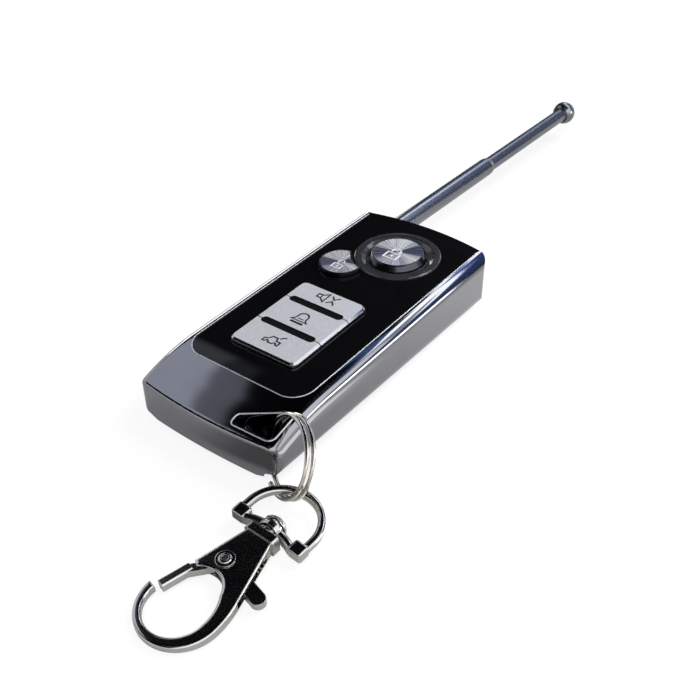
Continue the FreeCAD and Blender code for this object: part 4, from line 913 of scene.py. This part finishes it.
class Builder:
    """What every sub-assembly uses: the frame, the palette and the calls that make and place pieces."""

    same_point = 0.0002 * MM
    facing_up = 0.99
    level_play = 0.02 * MM
    sharp_angle = math.radians(28)

    def __init__(self, frame: dict, palette: Palette) -> None:
        """Keeps the frame and the palette.

        Args:
            palette: the finishes.
        """
        self.nodes = frame["nodes"]
        self.palette = palette

    def add(self, name: str, mesh: bpy.types.Mesh, body: str, slot: str,
            material: Optional[bpy.types.Material] = None) -> bpy.types.Object:
        """Adds a piece.

        Args:
            name: the piece's name.
            mesh: its mesh.
            body: the CAD body that it rides on.
            slot: the material slot that it takes its finish from.
            material: its material, or None for the slot's own.

        Returns:
            The object.
        """
        obj = linked(name, mesh)
        if not mesh.materials:
            mesh.materials.append(material or self.palette.made[slot])
        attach(obj, body)
        log.info("piece %s rides on %s", name, body)
        return obj

    def welded(self, node: str) -> bpy.types.Mesh:
        """Closes a copy of a CAD node's mesh.

        Args:
            node: the CAD node.

        Returns:
            The closed mesh.
        """
        mesh = bmesh.new()
        mesh.from_mesh(self.nodes[node].data)
        bmesh.ops.remove_doubles(mesh, verts=mesh.verts, dist=self.same_point)
        for face in mesh.faces:
            face.material_index = 0
        data = finished(node + "_closed", mesh)
        own = data.attributes.get("custom_normal")
        if own is not None:
            data.attributes.remove(own)
        return data

    def engraved(self, node: str, cutter: bpy.types.Object, face: bpy.types.Material,
                 groove: bpy.types.Material, side: bpy.types.Material, top: float) -> bpy.types.Mesh:
        """Cuts a symbol into a copy of a CAD node.

        Args:
            node: the CAD node.
            cutter: the cutting object, which is removed.
            face: material of the upper face.
            groove: material of the cut.
            side: material of the rest.
            top: height of the upper face above the deck, in mm.

        Returns:
            The cut mesh.
        """
        data = self.welded(node)
        data.materials.append(side)
        cutter.data.materials.append(groove)
        blank = linked(node + "_blank", data)
        cut = blank.modifiers.new("engrave", "BOOLEAN")
        cut.object = cutter
        cut.solver = "EXACT"
        cut.operation = "DIFFERENCE"
        cut.material_mode = "TRANSFER"
        graph = bpy.context.evaluated_depsgraph_get()
        result = bpy.data.meshes.new_from_object(blank.evaluated_get(graph))
        for obj in (blank, cutter):
            bpy.data.objects.remove(obj, do_unlink=True)
        result.materials.append(face)
        upright = (DeckFrame.point(0, 0, 1) - DeckFrame.point(0, 0, 0)).normalized()
        level = DeckFrame.point(0, 0, top).dot(upright)
        for polygon in result.polygons:
            flat = polygon.normal.dot(upright) > self.facing_up
            near = abs(polygon.center.dot(upright) - level) < self.level_play
            if polygon.material_index == 0 and flat and near:
                polygon.material_index = len(result.materials) - 1
        result.shade_smooth()
        result.set_sharp_from_angle(angle=self.sharp_angle)
        return result


# Sub-assemblies


@dataclass
class Case:
    """Lips of the chromed case, in a lighter metal that paints highlight lines round the panel and the
    window. The corners of its window are places over the deck, each with its bend.
    """

    builder: Builder
    half_width: float = 16.5
    tail: float = -29.9
    head: float = 38.9
    corner: float = 5.2
    line: float = 0.13
    rim: float = 0.17
    shoulder: float = 3.0
    nose_start: float = -24.0
    nose_length: float = 18.0
    nose_drop: float = 3.5
    corner_runs: int = 14
    bend_runs: int = 8
    window: tuple[Place, ...] = (
        (6.7, -40.35, 1.1), (17.5, -40.0, 2.0), (17.6, -31.8, 1.0), (6.9, -37.9, 1.2))

    def outline(self) -> list[Point]:
        """Follows the panel's edge over the deck, from its head on the left round to the right.

        Returns:
            The points of the path.
        """
        low = self.tail + self.corner
        path = []
        for side, start in ((-1, 180), (1, 270)):
            bend = arc_points(side * (self.half_width - self.corner), low, self.corner, start, start + 90,
                              self.corner_runs)
            edge = side * self.half_width
            wall = ((edge, self.head), (edge, (self.head + low) / 2))
            path += [*wall, *bend] if side < 0 else [*bend, *reversed(wall)]
        return path

    def height(self, v: float) -> float:
        """Finds how the nose drops below the deck.

        Args:
            v: place along the deck.

        Returns:
            Height over the deck in mm, which is below 0 on the nose.
        """
        radius = (self.nose_length ** 2 + self.nose_drop ** 2) / (2 * self.nose_drop)
        run = max(self.nose_start - v, 0.0)
        return math.sqrt(radius ** 2 - run ** 2) - radius

    def window_rim(self) -> list[Point]:
        """Follows the rim of the corner window over the deck, with a bend at each corner.

        Returns:
            The points of the path.
        """
        corners = [Vector(corner[:2]) for corner in self.window]
        path = []
        for i, here in enumerate(corners):
            before = corners[i - 1] - here
            after = corners[(i + 1) % len(corners)] - here
            reach = self.window[i][2] / math.tan(before.angle(after) / 2)
            start = here + before.normalized() * reach
            end = here + after.normalized() * reach
            for step in range(self.bend_runs + 1):
                share = step / self.bend_runs
                bend = start.lerp(here, share).lerp(here.lerp(end, share), share)
                path.append((bend.x, bend.y))
        return path

    def skin(self, x: float, v: float) -> Vector:
        """Finds a place on the upper skin of the case.

        Args:
            x: place across the deck.
            v: place along the deck.

        Returns:
            The place on the skin over it.
        """
        over = max(abs(x) - self.half_width, 0.0)
        drop = self.shoulder - math.sqrt(self.shoulder ** 2 - over ** 2)
        return DeckFrame.point(x, v, self.height(v) - drop)

    @staticmethod
    def tube(name: str, places: Sequence[Vector], radius: float, closed: bool) -> bpy.types.Mesh:
        """Makes a round line.

        Args:
            name: name of the mesh.
            places: its path.
            radius: its radius in mm.
            closed: whether the path ends where it starts.

        Returns:
            The mesh.
        """
        curve = bpy.data.curves.new(name, "CURVE")
        curve.dimensions = "3D"
        spline = curve.splines.new("POLY")
        spline.points.add(len(places) - 1)
        for point, place in zip(spline.points, places):
            point.co = (*place, 1.0)
        spline.use_cyclic_u = closed
        curve.bevel_depth = radius * MM
        curve.bevel_resolution = 3
        curve.use_fill_caps = not closed
        obj = linked(name, curve)
        mesh = bpy.data.meshes.new_from_object(obj.evaluated_get(bpy.context.evaluated_depsgraph_get()))
        bpy.data.objects.remove(obj, do_unlink=True)
        mesh.shade_smooth()
        return mesh

    def build(self) -> None:
        """Adds the bright lips of the case round the panel and round the corner window; their lighter metal
        paints the highlight lines there.
        """
        # Painted highlight: the lips are a much lighter copy of the case chrome
        bright = Finish("lip_painted_highlight", (0.78, 0.79, 0.82), (0.72, 0.73, 0.76), 1.0, 0.34,
                        grain_depth=0.0, edge_radius=0.01 * MM).build(self.builder.palette.effects)
        for name, path, radius, closed in (("panel_lip", self.outline(), self.line, False),
                                           ("window_lip", self.window_rim(), self.rim, True)):
            lip = self.tube(name, [self.skin(x, v) for x, v in path], radius, closed)
            self.builder.add(name, lip, "remote", "body_chrome", bright)


@dataclass
class KeyPad:
    """Three satin keys with engraved symbols."""

    builder: Builder
    top: float = 1.1
    depth: float = 0.32
    across: float = -0.4
    mute_v: float = 0.95
    bell_v: float = -8.5
    boot_v: float = -18.2

    def build(self) -> None:
        """Engraves the keys and puts them in place of the plain ones."""
        builder, made = self.builder, self.builder.palette.made
        effects = builder.palette.effects
        # Painted shade: the grooves of the key symbols are coloured dark
        groove = Finish("engraved_painted_shade", (0.10, 0.10, 0.11), (0.16, 0.16, 0.17), 0.9, 0.28).build(effects)
        bevel = Finish("key_bevel", (0.50, 0.50, 0.52), (0.42, 0.42, 0.44), 1.0, 0.10, 0.05,
                       edge_radius=0.1 * MM).build(effects)
        keys = (("mute_key", Symbols.mute(), self.mute_v), ("bell_key", Symbols.bell(), self.bell_v),
                ("boot_key", Symbols.boot(), self.boot_v))
        for node, symbol, v in keys:
            cutter = symbol.cutter(self.across, v, 1.0, self.top, self.depth)
            mesh = builder.engraved(node, cutter, made["key_silver"], groove, bevel, self.top)
            obj = builder.add(node + "_engraved", mesh, node, "key_silver")
            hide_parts(node)


@dataclass(frozen=True)
class Disc:
    """A spun disc and its padlock, in mm on the deck. Shift is where the padlock lies from the centre."""

    node: str
    body: str
    side: Side
    centre: Point
    shift: Point
    size: float
    top: float
    streaks: float


@dataclass
class RoundButtons:
    """Spun discs of the main and the small button, with engraved padlocks."""

    builder: Builder
    depth: float = 0.16
    discs: tuple[Disc, ...] = (
        Disc("lock_disc", "lock_key", Side.CLOSED, (1.4, 26.4), (-0.2, -1.1), 1.2, 1.23, 15.0),
        Disc("unlock_disc", "unlock_key", Side.OPEN, (-7.5, 15.3), (0.35, -1.3), 0.85, 1.08, 12.0))

    def build(self) -> None:
        """Engraves the discs and puts them in place of the plain ones."""
        builder = self.builder
        effects = builder.palette.effects
        # Painted highlight: the padlock grooves are coloured near white
        groove = Finish("disc_engraving_painted_highlight", (0.96, 0.96, 0.98), (0.88, 0.88, 0.92), 0.1, 0.30).build(effects)
        # Painted shade: the sides of the discs and the button skirts get a near-black copy of the chrome
        rim = Finish("disc_rim_painted_shade", (0.075, 0.075, 0.085), (0.055, 0.055, 0.06), 1.0, 0.14).build(effects)
        for disc in self.discs:
            x, v = disc.centre
            middle = DeckFrame.point(x, v, disc.top) / MM
            # The spun face carries painted highlight and shade wedges
            face = SpunFinish(disc.node + "_spun", (0.66, 0.67, 0.74), (0.22, 0.23, 0.28),
                              (middle.x, middle.y), disc.streaks).build(effects)
            cutter = Symbols.padlock(disc.side).cutter(x + disc.shift[0], v + disc.shift[1], disc.size,
                                                       disc.top, self.depth)
            mesh = builder.engraved(disc.node, cutter, face, groove, rim, disc.top)
            obj = builder.add(disc.node + "_engraved", mesh, disc.body, "spun_steel")
            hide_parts(disc.node)
        for name in ("lock_button", "unlock_button"):
            builder.palette.dress(builder.nodes[name], rim)


@dataclass
class CarriedOver:
    """The CAD nodes that stay as they are and take their slot's finish."""

    builder: Builder

    def build(self, record: dict) -> None:
        """Gives every node its finish.

        Args:
            record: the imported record.
        """
        made = self.builder.palette.made
        for part in record["subparts"]:
            name, slot = part["node"], part["material_slot"]
            self.builder.palette.dress(self.builder.nodes[name], made[slot])
            log.info("node %s takes %s", name, made[slot].name)


# Studio


def staged(name: str, corners: Sequence[Vector]) -> bpy.types.Object:
    """Adds a flat stage piece.

    Args:
        name: its name.
        corners: its corners in order.

    Returns:
        The object.
    """
    mesh = bmesh.new()
    mesh.faces.new([mesh.verts.new(corner) for corner in corners])
    obj = linked(name, finished(name, mesh))
    return obj


def square(name: str, size: float, height: float) -> bpy.types.Object:
    """Adds a level square stage piece with sides of this size, at this height."""
    signs = ((-1, -1), (1, -1), (1, 1), (-1, 1))
    return staged(name, [Vector((x * size / 2, y * size / 2, height)) for x, y in signs])


def across(start: float, full: float) -> Edge:
    """An edge of a patch that runs square to x, from where the patch starts to where it is full."""
    return 1.0, 0.0, start, full


def along(start: float, full: float) -> Edge:
    """An edge of a patch that runs square to y, from where the patch starts to where it is full."""
    return 0.0, 1.0, start, full


def mirrored_only(obj: bpy.types.Object, shader: Shader, colour: Value) -> None:
    """Makes an object shine in a colour, for reflections alone.

    Args:
        obj: the object.
        shader: its new material.
        colour: what it shines with.
    """
    shader.tree.nodes.remove(shader.surface)
    shader.show(shader.glow(colour))
    obj.data.materials.append(shader.material)
    obj.visible_camera = False
    obj.visible_diffuse = False
    obj.visible_shadow = False
    obj.visible_transmission = False


@dataclass
class Floor:
    """Pale floor that looks white and keeps the object's shadow."""

    size: float = 6.0
    height: float = -0.1 * MM
    paper: float = 0.80
    roughness: float = 0.9
    seen: Point = (0.26, 0.82)
    mirrored: Point = (0.70, 0.10)

    @staticmethod
    def spots() -> list[tuple[float, list[Edge]]]:
        """Gives the levels that the floor has in reflections only.

        Returns:
            Each level with the edges of its patch: dark at the left, dim behind the tail and bright at
            the right.
        """
        return [
            (0.01, [across(-0.0150, -0.0185), across(-0.065, -0.045), along(-0.036, -0.028)]),
            (0.17, [across(-0.012, 0.010), across(0.024, 0.020), along(-0.0435, -0.0455),
                    along(-0.070, -0.060)]),
            (2.20, [across(0.0255, 0.0315), along(0.014, -0.014), along(-0.048, -0.040),
                    across(0.10, 0.06)]),
        ]

    @staticmethod
    def lit(shader: Shader, albedo: float, level: float) -> Socket:
        """A grey that returns this much light and also shines at this level."""
        grey = shader.add("BsdfDiffuse", {"Color": (albedo, albedo, albedo)}).outputs[0]
        return shader.add("AddShader", {0: grey, 1: shader.glow(WHITE, level)}).outputs[0]

    def build(self) -> None:
        """Lays the floor."""
        shader = Shader("floor_paper")
        shader.fill(Base_Color=(self.paper, self.paper, self.paper), Roughness=self.roughness,
                    Specular_IOR_Level=0.0)
        mirrored = self.lit(shader, *self.mirrored)
        for level, edges in self.spots():
            mirrored = shader.over(shader.patch(edges), mirrored, shader.glow(WHITE, level))
        shown = shader.over(shader.rays("Is Glossy Ray"), self.lit(shader, *self.seen), mirrored)
        shader.show(shader.over(shader.rays(*SHARP_RAYS), shader.surface.outputs[0], shown))
        square("floor", self.size, self.height).data.materials.append(shader.material)


@dataclass
class Card:
    """Dark card over the object that only reflections see, with pale, blue and white fields."""

    size: float = 2.6
    height: float = 0.40
    ground: Colour = (0.004, 0.004, 0.005)
    white: Colour = (3.6, 3.7, 3.8)

    def fields(self) -> list[tuple[Colour, list[Edge]]]:
        """Gives the fields of the card.

        Returns:
            Each field's colour and the edges of its patch.
        """
        far_way, deck_way, nose_way = (-0.25, 1.0), (0.45, 1.0), (0.511, 0.859)
        low, high = along(-0.42, -0.32), along(0.27, 0.20)
        over, under = (*far_way, 0.392, 0.400), (*far_way, 0.399, 0.391)
        left, off_panel = across(-0.05, -0.11), across(-0.245, -0.225)
        from_left, past_far = across(-0.10, -0.04), along(0.56, 0.62)
        return [
            ((0.25, 0.27, 0.31), [(1.0, 0.25, -0.242, -0.250), across(-0.256, -0.264), low, high]),
            ((0.76, 0.80, 0.95), [(1.0, 0.20, -0.280, -0.288), across(-0.286, -0.294), low, high]),
            ((0.12, 0.22, 0.50), [along(0.272, 0.284), along(0.325, 0.312), off_panel,
                                  across(0.27, 0.24)]),
            ((0.60, 0.65, 0.78), [(*nose_way, 0.38, 0.42), under, off_panel]),
            ((1.70, 1.75, 1.85), [(-0.66, 1.0, 0.186, 0.168), across(0.26, 0.31)]),
            ((0.20, 0.33, 0.95), [over, across(-0.12, -0.06)]),
            ((0.055, 0.11, 0.39), [(*far_way, 0.411, 0.420), across(-0.06, 0.0)]),
            ((0.50, 0.62, 1.15), [(*deck_way, 0.368, 0.374), left, off_panel]),
            (self.white, [(*deck_way, 0.334, 0.344), (*deck_way, 0.372, 0.364), left, off_panel]),
            (self.white, [(*deck_way, 0.392, 0.398), left, off_panel]),
            (self.white, [(*nose_way, 0.288, 0.300), (*nose_way, 0.400, 0.375),
                          along(0.306, 0.316), under, from_left]),
            (self.white, [(*far_way, 0.352, 0.362), under, from_left, across(0.38, 0.32)]),
            ((0.09, 0.12, 0.22), [past_far, across(-0.14, -0.06)]),
            ((0.43, 0.53, 0.83), [past_far, across(-0.06, -0.13), across(-0.55, -0.45)]),
        ]

    def build(self) -> None:
        """Hangs the card."""
        shader = Shader("dark_card")
        colour = self.ground
        for over, edges in self.fields():
            colour = shader.mix(shader.patch(edges), colour, over)
        mirrored_only(square("overhead_card", self.size, self.height), shader, colour)


@dataclass(frozen=True)
class Board:
    """Plain glowing board on the floor, that only reflections see."""

    name: str
    start: Point
    end: Point
    height: float
    colour: Colour

    def build(self) -> None:
        """Stands the board on its two feet."""
        feet = [Vector((*place, 0.0)) for place in (self.start, self.end)]
        lift = Vector((0.0, 0.0, self.height))
        obj = staged(self.name, [*feet, feet[1] + lift, feet[0] + lift])
        mirrored_only(obj, Shader(self.name + "_glow"), self.colour)


@dataclass(frozen=True)
class Lamp:
    """Soft lamp that points at the object."""

    name: str
    place: Place
    size: Point
    power: float
    mirrored: bool = True
    aim: Place = (0.0, 0.0, 0.01)

    def build(self) -> None:
        """Hangs the lamp."""
        data = bpy.data.lights.new(self.name, "AREA")
        data.shape = "RECTANGLE"
        data.size, data.size_y = self.size
        data.energy = self.power
        obj = linked(self.name, data)
        obj.location = self.place
        obj.rotation_mode = "QUATERNION"
        obj.rotation_quaternion = (Vector(self.aim) - Vector(self.place)).to_track_quat("-Z", "Y")
        obj.visible_camera = False
        obj.visible_glossy = self.mirrored


@dataclass(frozen=True)
class PhotoCamera:
    """Camera where the photograph was taken from."""

    focal_pixels: float = 949.04
    picture_pixels: float = 700.0
    sensor: float = 36.0
    nearest: float = 0.01
    farthest: float = 20.0
    place: Place = (113.507, -140.162, 134.706)
    right: Place = (0.79800454, 0.60261990, -0.00616423)
    up: Place = (-0.35448295, 0.47763811, 0.80386794)
    back: Place = (0.48737109, -0.63930516, 0.59477587)

    def build(self) -> None:
        """Sets the camera."""
        data = bpy.data.cameras.new("camera")
        data.sensor_width = self.sensor
        data.sensor_fit = "HORIZONTAL"
        data.lens = self.focal_pixels / self.picture_pixels * self.sensor
        data.clip_start = self.nearest
        data.clip_end = self.farthest
        obj = linked("camera", data)
        turn = Matrix((self.right, self.up, self.back)).transposed()
        obj.matrix_world = Matrix.Translation(Vector(self.place) * MM) @ turn.to_4x4()
        bpy.context.scene.camera = obj


@dataclass
class Studio:
    """Pale floor, white surroundings, soft lamps, a dark card overhead, boards and the camera."""

    room: Colour = (0.92, 0.95, 1.0)
    room_level: float = 0.35

    def world(self) -> None:
        """Puts white surroundings round the camera, metal and glass, and a plain level round the rest."""
        world = bpy.data.worlds.new("white_studio")
        bpy.context.scene.world = world
        world.use_nodes = True
        nodes = Nodes(world.node_tree)
        soft = world.node_tree.nodes["Background"]
        nodes.put(soft.inputs["Color"], self.room)
        nodes.put(soft.inputs["Strength"], self.room_level)
        white = nodes.add("Background", {"Color": WHITE})
        both = nodes.over(nodes.rays(*SHARP_RAYS), soft.outputs[0], white.outputs[0])
        nodes.put(world.node_tree.nodes["World Output"].inputs["Surface"], both)

    def build(self) -> None:
        """Sets up the whole studio."""
        bpy.context.scene.view_settings.view_transform = "Standard"
        self.world()
        pieces = (
            Floor(),
            Card(),
            Board("far_dark_board", (0.55, 1.30), (0.97, 1.02), 0.45, (0.04, 0.06, 0.16)),
            Board("bright_board", (-0.137, 0.035), (-0.137, 0.142), 0.055, (3.0, 3.0, 3.0)),
            Board("near_dark_board", (-0.105, 0.148), (-0.105, 0.32), 0.055, (0.03, 0.04, 0.06)),
            Lamp("soft_back", (0.30, 0.55, 0.75), (0.45, 0.45), 2.6),
            Lamp("near_fill", (0.045, 0.055, 0.045), (0.03, 0.03), 0.022, mirrored=False),
            Lamp("soft_front", (0.20, -0.45, 0.62), (0.35, 0.35), 1.6),
            Lamp("soft_left", (-0.60, 0.42, 0.12), (0.45, 0.14), 0.6),
            Lamp("soft_right", (0.72, 0.50, 0.13), (0.34, 0.16), 0.8),
            PhotoCamera(),
        )
        for piece in pieces:
            piece.build()


def main() -> None:
    """Builds the remote's looks and the studio round it."""
    logging.basicConfig(level=logging.INFO, format="%(name)s: %(message)s")
    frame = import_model()
    palette = Palette(Effects())
    palette.build()
    builder = Builder(frame, palette)
    CarriedOver(builder).build(frame["record"])
    Case(builder).build()
    KeyPad(builder).build()
    RoundButtons(builder).build()
    Studio().build()


if __name__ == "__main__":
    main()
